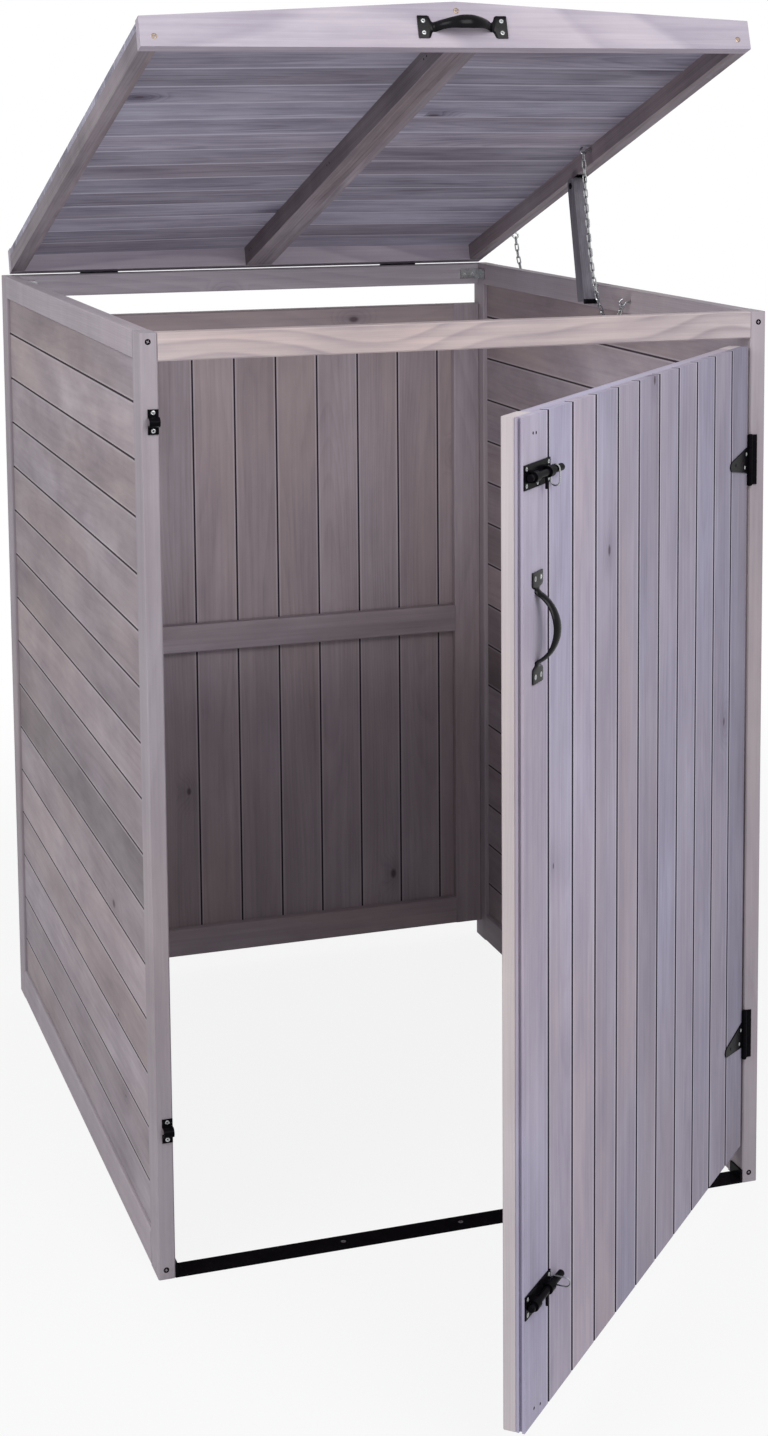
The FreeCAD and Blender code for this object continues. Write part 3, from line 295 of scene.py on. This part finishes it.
# A single timber lies in a cell 0.4 m wide or so, a rafter in one of 28 mm
FINISHES = {
    "black": BLACK,
    "zinc": ZINC,
    "post": spruce("spruce_post", POST, "ZXY", 0.405, -0.81, seed=3.0, knots=0.3),
    "side_rail": spruce("spruce_side_rail", POST, "YXZ", 0.405, -0.81, seed=5.0, knots=0.3, patchy=1.3),
    "header": spruce(
        "spruce_header", PINK, "XZY", 0.4, 0.8, seed=1.0,
        figure=1.4, patchy=1.4, ring=0.004, loops=0.42, wander=0.24,
    ),
    "back_rail": spruce("spruce_back_rail", BACK_RAIL_IN_PAINTED_SHADE, "XZY", 0.4, 0.8, seed=9.0, figure=1.4),
    "side_boards": spruce(
        "spruce_side_boards", BROWN, "YZX", BOARD_PITCH, 0.0296, seed=11.0, joint=0.0018, boards=16,
        knots=0.25, figure=0.7, patchy=1.6, dark=6, differ=0.15, seam="#40363d",
    ),
    "back_boards": spruce(
        "spruce_back_boards", BROWN, "ZXY", BOARD_PITCH, -0.3839, seed=15.0, joint=0.0018, boards=11,
        knots=0.35,
    ),
    "back_stile": spruce("spruce_back_stile", BROWN, "ZXY", 0.4, -0.8, seed=17.0, knots=0.4),
    "back_batten": spruce("spruce_back_batten", BROWN, "XZY", 0.4, -0.1, seed=19.0, knots=0.4),
    # The door's boards grow duller towards its hinge: partly their own stain, partly painted shade
    "door_boards": spruce(
        "spruce_door_boards", LILAC, "ZXY", BOARD_PITCH, -0.7669, DOOR_PLACE, 23.0, joint=0.0032, boards=11,
        knots=0.3, patchy=1.2, fade=0.026, differ=0.1, seam="#332c39",
    ),
    "door_stile": spruce("spruce_door_stile", EDGE, "ZXY", 0.4, -0.8, DOOR_PLACE, seed=27.0, knots=0.3),
    "door_rail": spruce("spruce_door_rail", LILAC, "XZY", 0.4, -0.1, DOOR_PLACE, seed=29.0, knots=0.4),
    "lid_boards": spruce(
        "spruce_lid_boards", UNDERSIDE_PAINTED_LIGHTER, "XYZ", BOARD_PITCH, -1.068, LID_PLACE, 31.0, joint=0.0008, boards=16,
        knots=0.55, figure=1.6, patchy=1.5, differ=0.2, seam="#b9b4c4",
    ),
    "fascia": spruce(
        "spruce_fascia", PALE, "XZY", 0.4, -0.2, LID_PLACE, seed=37.0,
        knots=0.2, figure=1.2, patchy=1.1, ring=0.004, loops=0.4,
    ),
    "rafter": spruce(
        "spruce_rafter", RAFTER_IN_PAINTED_SHADE, "YXZ", 0.028, -0.573, LID_PLACE, seed=41.0, figure=1.3, patchy=1.5,
    ),
    "stay": spruce("spruce_stay", STAY, "ZYX", 0.4, 0.2, seed=43.0, knots=0.2, figure=1.5),
}

WEARS = {
    "post": "front_left_post front_right_post back_left_post back_right_post",
    "side_rail": "left_top_rail right_top_rail left_bottom_rail right_bottom_rail",
    "header": "front_header",
    "back_rail": "back_top_rail",
    "side_boards": "left_side_boards right_side_boards",
    "back_boards": "back_panel_boards",
    "back_stile": "back_panel_stiles",
    "back_batten": "back_panel_rails",
    "door_boards": "door_boards",
    "door_stile": "door_latch_stile door_hinge_stile",
    "door_rail": "door_rails",
    "lid_boards": "lid_left_boards lid_right_boards",
    "fascia": "lid_front_fascia lid_back_fascia",
    "rafter": "lid_left_rafter lid_right_rafter lid_centre_rafter lid_second_centre_rafter",
    "stay": "lid_stay",
    "black": "threshold_strip bolt_keepers upper_hinge_leaf lower_hinge_leaf door_hinge_pins "
    "upper_hinge_strap lower_hinge_strap upper_bolt_plate lower_bolt_plate upper_bolt_rod lower_bolt_rod "
    "stay_bracket stay_pin stay_peg door_pull lid_handle lid_hinge_fixed_leaves lid_hinge_pins "
    "lid_hinge_moving_leaves",
    "zinc": "corner_brackets wall_chain_hook outer_wall_hook lid_chain_hook rear_chain_hook front_chain "
    "rear_chain bolt_rings",
}
for finish, names in WEARS.items():
    for name in names.split():
        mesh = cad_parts[name].data
        mesh.materials.clear()
        mesh.materials.append(FINISHES[finish])


# Shapes


def skin(points, closed=False):
    """The faces over rows of points: each row is a loop, and each loop is joined to the next.
    Open ends are shut by a face each. Returns the points in one list, and the faces."""
    rows, around = points.shape[:2]
    index = np.arange(rows * around).reshape(rows, around)
    ends = [] if closed else [index[0].tolist(), index[-1][::-1].tolist()]
    if closed:
        index = np.concatenate([index, index[:1]])
    low, high = index[:-1], index[1:]
    quads = np.stack([low, high, np.roll(high, -1, 1), np.roll(low, -1, 1)], -1)
    return points.reshape(-1, 3), quads.reshape(-1, 4).tolist() + ends


def carried(path, section, closed=False):
    """A section carried along a flat path in XY: each point is the path's point, plus the
    section's first number to the left of the path, plus its second number along Z."""
    ahead = np.roll(path, -1, 0) - np.roll(path, 1, 0) if closed else np.gradient(path, axis=0)
    ahead = ahead / np.linalg.norm(ahead, axis=1, keepdims=True)
    left = np.stack([-ahead[:, 1], ahead[:, 0], 0 * ahead[:, 0]], 1)
    section = np.broadcast_to(section, (len(path), *section.shape[-2:]))
    points = path[:, None] + left[:, None] * section[..., :1] + np.array([0.0, 0.0, 1.0]) * section[..., 1:]
    return skin(points, closed)


def circle(radius, count, start=0.0):
    """Points round a circle: radius times cosine and sine of equal steps."""
    turn = start + np.arange(count) * 2 * math.pi / count
    return radius * np.stack([np.cos(turn), np.sin(turn)], 1)


def placed(shell, matrices):
    """Copies of a shell, one for each 4 by 4 matrix, as one list of points and one of faces."""
    points, faces = shell
    matrices = np.array([np.array(matrix) for matrix in matrices])
    moved = np.einsum("mij,nj->mni", matrices[:, :3, :3], points) + matrices[:, None, :3, 3]
    steps = (np.arange(len(matrices)) * len(points)).tolist()
    return moved.reshape(-1, 3), [[corner + step for corner in face] for step in steps for face in faces]


def piece(name, body, material, slot, *shells, replaces=(), hangs=None):
    """A finished piece from one or more shells, its faces turned outwards. It rides on a body, or, when
    the points where it hangs are given, stays fixed where it lies."""
    points, faces, before = [], [], 0
    for shell_points, shell_faces in shells:
        points.append(shell_points)
        faces += [[corner + before for corner in face] for face in shell_faces]
        before += len(shell_points)
    mesh = bpy.data.meshes.new(name)
    mesh.from_pydata(np.concatenate(points).tolist(), [], faces)
    work = bmesh.new()
    work.from_mesh(mesh)
    bmesh.ops.recalc_face_normals(work, faces=work.faces)
    work.to_mesh(mesh)
    work.free()
    mesh.shade_smooth()
    mesh.set_sharp_from_angle(angle=math.radians(40))
    mesh.materials.append(material)
    made = bpy.data.objects.new(name, mesh)
    bpy.context.scene.collection.objects.link(made)
    if hangs:
        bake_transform(made)
    else:
        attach(made, body)
    if replaces:
        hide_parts(*replaces)
    return made


def facing(frame_matrix, point, out, up):
    """The matrix that puts a shape's X along up, and its Z along out, at a point of a frame."""
    out, up = Vector(out).normalized(), Vector(up).normalized()
    turned = Matrix((up, out.cross(up), out)).transposed().to_4x4()
    return frame_matrix @ Matrix.Translation(point) @ turned


# Screws


def screw_head(radius, height, lip=0.0004):
    """A domed head with a cross recess: height over the radius is a flat dome, a square root of one
    minus the radius squared, less a cross of two bars that fades out at six tenths of the radius."""
    part = np.array([0.06, 0.18, 0.32, 0.48, 0.6, 0.72, 0.86, 0.96, 1.0, 1.0])
    dome = height * np.sqrt(np.clip(1 - 0.8 * part**2, 0, 1)) - height * math.sqrt(0.2)
    dome[-1] = -lip
    turn = np.arange(24) * math.pi / 12
    x = radius * part[:, None] * np.cos(turn)
    y = radius * part[:, None] * np.sin(turn)
    bar = np.clip((0.2 * radius - np.minimum(abs(x), abs(y))) / (0.1 * radius), 0, 1)
    fade = np.clip((0.66 - part[:, None]) / 0.12, 0, 1)
    z = dome[:, None] - 0.6 * height * bar * fade
    return skin(np.stack([x, y, z], -1))


def screws(name, body, material, slot, radius, height, spots, frame_matrix=STORE):
    """Screw heads at spots, each a point, the way out of the surface and a turn of the recess."""
    matrices = []
    for point, out, turn in spots:
        side = Vector(out).orthogonal()
        side.rotate(Matrix.Rotation(math.radians(turn), 3, Vector(out)))
        matrices.append(facing(frame_matrix, point, out, side))
    return piece(name, body, material, slot, placed(screw_head(radius, height), matrices))


TO_FRONT = (0.0, -1.0, 0.0)
TO_BACK = (0.0, 1.0, 0.0)
UP = (0.0, 0.0, 1.0)
POST_EDGE = HALF_WIDTH - 0.0095
FASCIA_END = LID_HALF - 0.017
IRON_FACE = 0.0019
screws(
    "post_screws", "store", BLACK, "black_steel", 0.0036, 0.001,
    [
        ((-POST_EDGE, FRONT, HEIGHT - 0.0105), TO_FRONT, 12),
        ((POST_EDGE - 0.0005, FRONT, HEIGHT - 0.0135), TO_FRONT, 50),
        ((-POST_EDGE, FRONT, 0.012), TO_FRONT, 33),
        ((POST_EDGE - 0.002, FRONT, 0.013), TO_FRONT, 71),
    ],
)
screws(
    "fascia_screws", "lid", BRASSY, "zinc_steel", 0.0036, 0.0012,
    [
        ((-FASCIA_END, LID_FACE, 0.0125), TO_FRONT, 20),
        ((FASCIA_END, LID_FACE, 0.0125), TO_FRONT, 64),
        ((0.001, LID_FACE, 0.0473), TO_FRONT, 5),
    ],
    LID,
)

# The door's ironwork: heights of its hinges and bolts, and the places of the screws in each part
HINGE_HEIGHTS = (0.207, 0.9745)
BOLT_HEIGHTS = (0.190, 1.060)
STRAP_HOLES = ((-0.0085, 0.0085), (-0.0150, -0.0080))
PLATE_HOLES = (
    (-0.7595, 0.0083), (-0.7595, -0.0083), (-0.6995, 0.0083), (-0.6995, -0.0083), (-0.73, -0.0085),
)
STRAP_TIP = -0.054
LEAF_MIDDLE, LEAF_HOLES = 0.0074, (-0.023, 0.0, 0.023)
KEEPER_MIDDLE, KEEPER_HOLES = -0.391, (-0.0107, 0.0107)
THRESHOLD_HOLES = (-0.165, -0.008, 0.165)
door_spots = [
    ((x, IRON_FACE, height + z), TO_FRONT, 900 * x + 40 * z)
    for heights, holes in ((HINGE_HEIGHTS, STRAP_HOLES), (BOLT_HEIGHTS, PLATE_HOLES))
    for height in heights
    for x, z in holes
]
screws("door_iron_screws", "door", ZINC, "zinc_steel", 0.0026, 0.001, door_spots, DOOR)
post_face = DOOR_PIN[1] + IRON_FACE
leaf_spots = [
    ((DOOR_PIN[0] + LEAF_MIDDLE, post_face, height + z), TO_FRONT, 33 * z)
    for height in HINGE_HEIGHTS
    for z in LEAF_HOLES
]
screws("hinge_leaf_screws", "store", BLACK, "black_steel", 0.0024, 0.0009, leaf_spots)
tip_spots = [((STRAP_TIP, IRON_FACE, height), TO_FRONT, 20) for height in HINGE_HEIGHTS]
screws("strap_tip_screws", "door", BLACK, "black_steel", 0.0024, 0.0009, tip_spots, DOOR)
keeper_spots = [
    ((KEEPER_MIDDLE, post_face, height + z), TO_FRONT, 2000 * z)
    for height in BOLT_HEIGHTS
    for z in KEEPER_HOLES
]
screws("keeper_screws", "store", ZINC, "zinc_steel", 0.0028, 0.001, keeper_spots)
threshold_spots = [((x, 0.0, 0.003), UP, 400 * x) for x in THRESHOLD_HOLES]
screws("threshold_screws", "store", ZINC, "zinc_steel", 0.0034, 0.0009, threshold_spots)

# The lid's hinges: three screws in each leaf, each with the turn of its recess
LID_LEAF_FACE, LID_LEAF_REACH = -0.0015, 0.0152
lid_leaf_holes = [
    (side * 0.25 + step, side * 50 + step * 900)
    for side in (-1, 1)
    for step in (-0.022, 0.0, 0.022)
]
moving_spots = [((x, LID_LEAF_FACE, LID_LEAF_REACH), TO_BACK, turn) for x, turn in lid_leaf_holes]
screws("lid_leaf_screws", "lid", ZINC, "zinc_steel", 0.0025, 0.0009, moving_spots, LID)
fixed_y, fixed_z = LID_LINE[1] + LID_LEAF_FACE, LID_LINE[2] - LID_LEAF_REACH
fixed_spots = [((x, fixed_y, fixed_z), TO_BACK, turn) for x, turn in lid_leaf_holes]
screws("rail_leaf_screws", "store", ZINC, "zinc_steel", 0.0025, 0.0009, fixed_spots)

# The corner brackets: two screws in each leg
BRACKET_HEIGHT = 1.148
BRACKET_SHEET = 0.0015
bracket_spots = []
for side in (-1, 1):
    for y, way in ((0.0065, 1), (1.0155, -1)):
        for hole in (0.011, 0.024):
            in_rail = (side * (INNER - hole), y, BRACKET_HEIGHT)
            in_wall = (side * (INNER - BRACKET_SHEET), y + way * (hole - BRACKET_SHEET), BRACKET_HEIGHT)
            bracket_spots.append((in_rail, (0, way, 0), 70 * hole))
            bracket_spots.append((in_wall, (-side, 0, 0), 500 * hole))
screws("bracket_screws", "store", ZINC, "zinc_steel", 0.0026, 0.0009, bracket_spots)


def nails(name, body, spots, frame_matrix):
    """Sunk nail heads at spots, each a point and the way out: a flat disc with a rolled edge, whose
    height falls off as the fourth power of the distance from its middle."""
    part = np.array([0.05, 0.5, 0.85, 1.0, 1.0])
    height = np.append(0.0003 * (1 - part[:-1] ** 4), -0.0004)
    ring = circle(0.0018, 12)
    level = np.broadcast_to(height[:, None, None], (len(part), len(ring), 1))
    rows = np.concatenate([part[:, None, None] * ring, level], -1)
    matrices = [facing(frame_matrix, point, out, Vector(out).orthogonal()) for point, out in spots]
    return piece(name, body, BLACK, "black_steel", placed(skin(rows), matrices))


TO_LEFT = (-1.0, 0.0, 0.0)
# The nail heads start 0.1 mm inside the left face of the left centre rafter
RAFTER_NAILS_X = -0.0141
rafter_nails = [
    ((RAFTER_NAILS_X, y + step, 0.0175), TO_LEFT)
    for y in (-0.057, -0.535, -0.998)
    for step in (-0.006, 0.006)
]
nails("rafter_nails", "lid", rafter_nails, LID)
DOOR_NAILS_AT = ((-0.7385, 1.1023), (-0.7303, 1.1017), (-0.7385, 0.068), (-0.7211, 0.064))
door_nails = [((x, DOOR_FACE, z), TO_FRONT) for x, z in DOOR_NAILS_AT]
nails("door_nails", "door", door_nails, DOOR)

# Handles

# Half the length, where the feet begin, the height, the fillet at a foot and the strip's thickness
HANDLE_HALF = 0.0575
HANDLE_FLAT = 0.0425
HANDLE_RISE = 0.0242
HANDLE_FILLET = 0.008
HANDLE_SHEET = 0.0018
# Half the strip's width at its feet and middle, and how much less it is at its necks
FOOT_HALF = 0.0145
MIDDLE_HALF = 0.0086
NECK_LESS = 0.0022


def smooth(value, start, width):
    """A smooth step from nought at start to one at start plus width."""
    part = np.clip((value - start) / width, 0, 1)
    return part * part * (3 - 2 * part)


def pressed_handle():
    """A handle pressed from one strip: flat feet, a fillet and one big arc between them as seen from
    the side. The strip is widest at its feet, narrows to necks and swells a little to its middle, and
    its back is crowned. It lies along X and stands out along Z."""
    big = (HANDLE_FLAT**2 + HANDLE_RISE**2 - 2 * HANDLE_FILLET * HANDLE_RISE) / (2 * HANDLE_RISE)
    steep = math.asin(HANDLE_FLAT / (big + HANDLE_FILLET))
    fillet = np.linspace(0, steep, 11)[:-1]
    arc = np.linspace(steep, 0, 15)
    x = np.concatenate([
        np.array([HANDLE_HALF, HANDLE_HALF - 0.0008, 0.052, 0.047, 0.0447]),
        HANDLE_FLAT - HANDLE_FILLET * np.sin(fillet),
        big * np.sin(arc),
    ])
    z = np.concatenate([
        np.zeros(5),
        HANDLE_FILLET * (1 - np.cos(fillet)),
        HANDLE_RISE - big * (1 - np.cos(arc)),
    ])
    x = np.concatenate([-x, x[-2::-1]])
    z = np.concatenate([z, z[-2::-1]]) + HANDLE_SHEET / 2
    reach = abs(x)
    foot = smooth(reach, 0.0385, 0.005)
    neck = smooth(reach, 0.004, 0.026)
    half = (MIDDLE_HALF - NECK_LESS * neck) * (1 - foot) + FOOT_HALF * foot
    half = half * np.where(reach > 0.0572, 0.985, 1.0)
    crown = (1 - foot) * np.clip(half * 0.42, 0, 0.0032)
    turn = np.arange(28) * math.pi / 14
    along = np.sign(np.cos(turn)) * abs(np.cos(turn)) ** 0.55
    thick = np.sign(np.sin(turn)) * abs(np.sin(turn)) ** 0.55 * HANDLE_SHEET / 2
    across = half[:, None] * along
    lift = crown[:, None] * (1 - along**2) - crown[:, None] + thick
    path = np.stack([x, z, 0 * x], 1)
    points, faces = carried(path, np.stack([lift, across], -1))
    return np.stack([points[:, 0], points[:, 2], points[:, 1]], 1), faces


PULL_AT = (-0.001 - DOOR_WIDTH + 0.036, DOOR_FACE, 0.903)
LID_HANDLE_AT = (0.007, LID_FACE, 0.02615)
pull_matrix = facing(DOOR, PULL_AT, TO_FRONT, (0, 0, 1))
lid_handle_matrix = facing(LID, LID_HANDLE_AT, TO_FRONT, (1, 0, 0))
for name, body, matrix in (("door_pull", "door", pull_matrix), ("lid_handle", "lid", lid_handle_matrix)):
    shell = placed(pressed_handle(), [matrix])
    piece(name + "_pressed", body, HANDLE_BLACK, "black_steel", shell, replaces=[name])
HANDLE_SCREWS = [
    ((sx * 0.0505, sy * 0.0075, HANDLE_SHEET), (0, 0, 1), 30 * sx + 17 * sy)
    for sx in (-1, 1)
    for sy in (-1, 1)
]
screws("door_pull_screws", "door", ZINC, "zinc_steel", 0.0028, 0.0011, HANDLE_SCREWS, pull_matrix)
screws("lid_handle_screws", "lid", ZINC, "zinc_steel", 0.0028, 0.0011, HANDLE_SCREWS, lid_handle_matrix)

# Wire: links, rings and hooks


def stadium(half_length, half_width, count):
    """The middle line of a long link: two half circles joined by straights, evenly stepped."""
    straight = half_length - half_width
    half = math.pi * half_width
    total = 4 * straight + 2 * math.pi * half_width
    s = np.arange(count) * total / count
    on_right = s < half
    on_top = (s >= half) & (s < half + 2 * straight)
    on_left = (s >= half + 2 * straight) & (s < 2 * half + 2 * straight)
    right = s / half_width - math.pi / 2
    left = (s - half - 2 * straight) / half_width + math.pi / 2
    where = [on_right, on_top, on_left]
    right_x, left_x = straight + half_width * np.cos(right), -straight + half_width * np.cos(left)
    right_y, left_y = half_width * np.sin(right), half_width * np.sin(left)
    below = -straight + (s - 2 * half - 2 * straight)
    x = np.select(where, [right_x, straight - (s - half), left_x], below)
    y = np.select(where, [right_y, half_width, left_y], -half_width)
    return np.stack([x, y, 0 * x], 1)


def loops_of(node, count):
    """The place and directions of each closed loop of a node: its middle, its long way and its
    wide way, from the spread of its points."""
    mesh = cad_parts[node].data
    co = np.zeros(len(mesh.vertices) * 3, np.float32)
    mesh.vertices.foreach_get("co", co)
    loops = co.reshape(count, -1, 3).astype(float)
    matrices = []
    for loop in loops:
        middle = loop.mean(0)
        ways = np.linalg.svd(loop - middle, full_matrices=False)[2]
        spread = (loop - middle) @ ways.T
        middle = middle + ((spread.max(0) + spread.min(0)) / 2) @ ways
        ways[2] = np.cross(ways[0], ways[1])
        matrix = np.eye(4)
        matrix[:3, :3] = ways.T
        matrix[:3, 3] = middle
        matrices.append(matrix)
    return matrices


# Half the length and half the width of a link and of a key ring, to the middle of the wire, and its radius
LINK_HALF_LENGTH, LINK_HALF_WIDTH, LINK_WIRE = 0.0066, 0.0026, 0.0011
RING_HALF_LENGTH, RING_HALF_WIDTH, RING_WIRE = 0.0111, 0.00495, 0.0009
LINK = carried(stadium(LINK_HALF_LENGTH, LINK_HALF_WIDTH, 26), circle(LINK_WIRE, 8), True)
for name, count in (("front_chain", 29), ("rear_chain", 9)):
    links = loops_of(name, count)
    held = [tuple(links[i][:3, 3]) for i in (-1, 0)]
    shell = placed(LINK, links)
    piece(name + "_links", ("store", "lid"), ZINC, "zinc_steel", shell, replaces=[name], hangs=held)

RING = carried(stadium(RING_HALF_LENGTH, RING_HALF_WIDTH, 34), circle(RING_WIRE, 8), True)
rings = placed(RING, loops_of("bolt_rings", 2))
piece("bolt_key_rings", "door", ZINC, "zinc_steel", rings, replaces=["bolt_rings"])

HOOK_RING = 0.0045
HOOK_WIRE = 0.0014


def screw_hook(reach):
    """A screw hook: a straight shank along X, a collar on it, and three quarters of a ring."""
    turn = np.linspace(math.pi, 2.5 * math.pi, 22)
    bend = np.stack([reach + HOOK_RING + HOOK_RING * np.cos(turn), HOOK_RING * np.sin(turn), 0 * turn], 1)
    shank = np.stack([np.linspace(0, reach * 0.92, 4), np.zeros(4), np.zeros(4)], 1)
    wire = carried(np.concatenate([shank, bend]), circle(HOOK_WIRE, 10))
    x = np.array([0.0, 0.0002, 0.0012, 0.0015])
    radius = np.array([0.0022, 0.0027, 0.0027, 0.0021])
    collar = circle(1.0, 16)[None] * radius[:, None, None]
    collar = np.concatenate([np.broadcast_to(x[:, None, None], (*collar.shape[:2], 1)), collar], -1)
    return [wire, skin(collar)]


# Each hook: its node, its body and directions, its root, the side it points to and its reach
HOOKS = (
    ("lid_chain_hook", "lid", LID, (0.371, -0.585, 0.01815), -1, 0.008),
    ("wall_chain_hook", "store", STORE, (INNER, 0.372, 1.148), -1, 0.008),
    ("rear_chain_hook", "lid", LID, (0.392, -0.145, 0.00715), 1, 0.0125),
    ("outer_wall_hook", "store", STORE, (HALF_WIDTH, 0.856, 1.148), 1, 0.008),
)
for name, body, whole, root, side, reach in HOOKS:
    turn = Matrix(((side, 0, 0), (0, 0, -side), (0, 1, 0))).to_4x4()
    matrix = whole @ Matrix.Translation(root) @ turn
    shells = [placed(shell, [matrix]) for shell in screw_hook(reach)]
    piece(name + "_wire", body, ZINC, "zinc_steel", *shells, replaces=[name])


# Camera, floor and light

# The picture's size, focal length and axis in pixels; the camera's azimuth, elevation and roll in degrees
IMAGE_WIDTH, IMAGE_HEIGHT = 768, 1436
FOCAL = 2423.9
AXIS_AT = (480.0, 399.2)
CAMERA_AT = (-0.9804, -2.802, 1.4281)
CAMERA_ANGLES = (-19.6919, 6.9222, -0.2079)
camera = bpy.data.cameras.new("camera")
camera.sensor_width = 36.0
camera.lens = FOCAL * camera.sensor_width / IMAGE_HEIGHT
camera.shift_x = (IMAGE_WIDTH / 2 - AXIS_AT[0]) / IMAGE_HEIGHT
camera.shift_y = (AXIS_AT[1] - IMAGE_HEIGHT / 2) / IMAGE_HEIGHT
camera.clip_end = 200.0
azimuth, elevation, roll = (math.radians(angle) for angle in CAMERA_ANGLES)
viewer = bpy.data.objects.new("camera", camera)
viewer.matrix_world = (
    Matrix.Translation(CAMERA_AT)
    @ Matrix.Rotation(azimuth, 4, "Z")
    @ Matrix.Rotation(math.pi / 2 - elevation, 4, "X")
    @ Matrix.Rotation(roll, 4, "Z")
)
bpy.context.scene.collection.objects.link(viewer)
bpy.context.scene.camera = viewer


def for_rays(tree, *kinds):
    """One for the kinds of ray that are named, and nought for all others."""
    path = add(tree, "LightPath")
    either = path.outputs[kinds[0]]
    for kind in kinds[1:]:
        either = add(tree, "Math", {0: either, 1: path.outputs[kind]}, operation="MAXIMUM")
    return either


def pale_floor():
    """A smooth pale floor. To the camera and in gloss it shows as near white and keeps the shadow
    round the store, and from 1.5 m out it fades into the white backdrop."""
    material, tree, shader = new_material("pale_floor")
    shader.inputs["Base Color"].default_value = colour("#c4c4c7")
    shader.inputs["Roughness"].default_value = 0.9
    shader.inputs["Specular IOR Level"].default_value = 0.1
    point = add(tree, "TexCoord").outputs["Object"]
    out = add(tree, "VectorMath", {0: point}, operation="LENGTH").outputs["Value"]
    fading = {0: out, 1: 1.5, 2: 3.2, 3: 0.88, 4: 1.0}
    white = add(tree, "MapRange", fading, interpolation_type="SMOOTHSTEP")
    seen = for_rays(tree, "Is Camera Ray", "Is Glossy Ray")
    seen = add(tree, "Math", {0: seen, 1: white}, operation="MULTIPLY")
    glow = add(tree, "Emission", {"Color": (1.0, 1.0, 1.0, 1.0), "Strength": 1.0})
    mixed = add(tree, "MixShader", {0: seen, 1: shader, 2: glow})
    output = [node for node in tree.nodes if node.type == "OUTPUT_MATERIAL"][0]
    tree.links.new(mixed.outputs[0], output.inputs["Surface"])
    return material


FLOOR_REACH = 60.0
FLOOR_LEVEL = -0.0004
corners = [(x * FLOOR_REACH, y * FLOOR_REACH, 0) for x, y in ((-1, -1), (1, -1), (1, 1), (-1, 1))]
floor_mesh = bpy.data.meshes.new("floor")
floor_mesh.from_pydata(corners, [], [(0, 1, 2, 3)])
floor_mesh.transform(Matrix.Translation((0, 0, FLOOR_LEVEL)))
floor_mesh.materials.append(pale_floor())
floor = bpy.data.objects.new("floor", floor_mesh)
bpy.context.scene.collection.objects.link(floor)

world = bpy.data.worlds.new("studio")
bpy.context.scene.world = world
world.use_nodes = True
tree = world.node_tree
tree.nodes.clear()
seen = for_rays(tree, "Is Camera Ray", "Is Glossy Ray", "Is Transmission Ray")
WORLD_STRENGTH = 0.65
strength = add(tree, "MapRange", {0: seen, 3: WORLD_STRENGTH, 4: 1.0})
backing = add(tree, "Background", {"Color": (1.0, 1.0, 1.0, 1.0), "Strength": strength})
add(tree, "OutputWorld", {"Surface": backing})


def softbox(name, place, aim, wide, power):
    """A square soft lamp that points at aim and isn't seen itself. wide is in metres, power in watts."""
    lamp = bpy.data.lights.new(name, "AREA")
    lamp.shape = "SQUARE"
    lamp.size = wide
    lamp.energy = power
    holder = bpy.data.objects.new(name, lamp)
    holder.visible_camera = False
    away = Vector(place) - Vector(aim)
    holder.matrix_world = Matrix.Translation(place) @ away.to_track_quat("Z", "Y").to_matrix().to_4x4()
    bpy.context.scene.collection.objects.link(holder)


softbox("key_lamp", (0.5, -2.4, 2.4), (0.0, -0.1, 0.9), 1.6, 48.0)
softbox("left_lamp", (-2.6, -1.2, 2.5), (-0.4, 0.2, 1.0), 1.6, 43.0)
softbox("inner_lamp", (-0.13, 0.3, 0.5), (-0.15, 0.45, 2.0), 0.36, 3.2)

bpy.context.scene.view_settings.view_transform = "Standard"
bpy.context.view_layer.update()
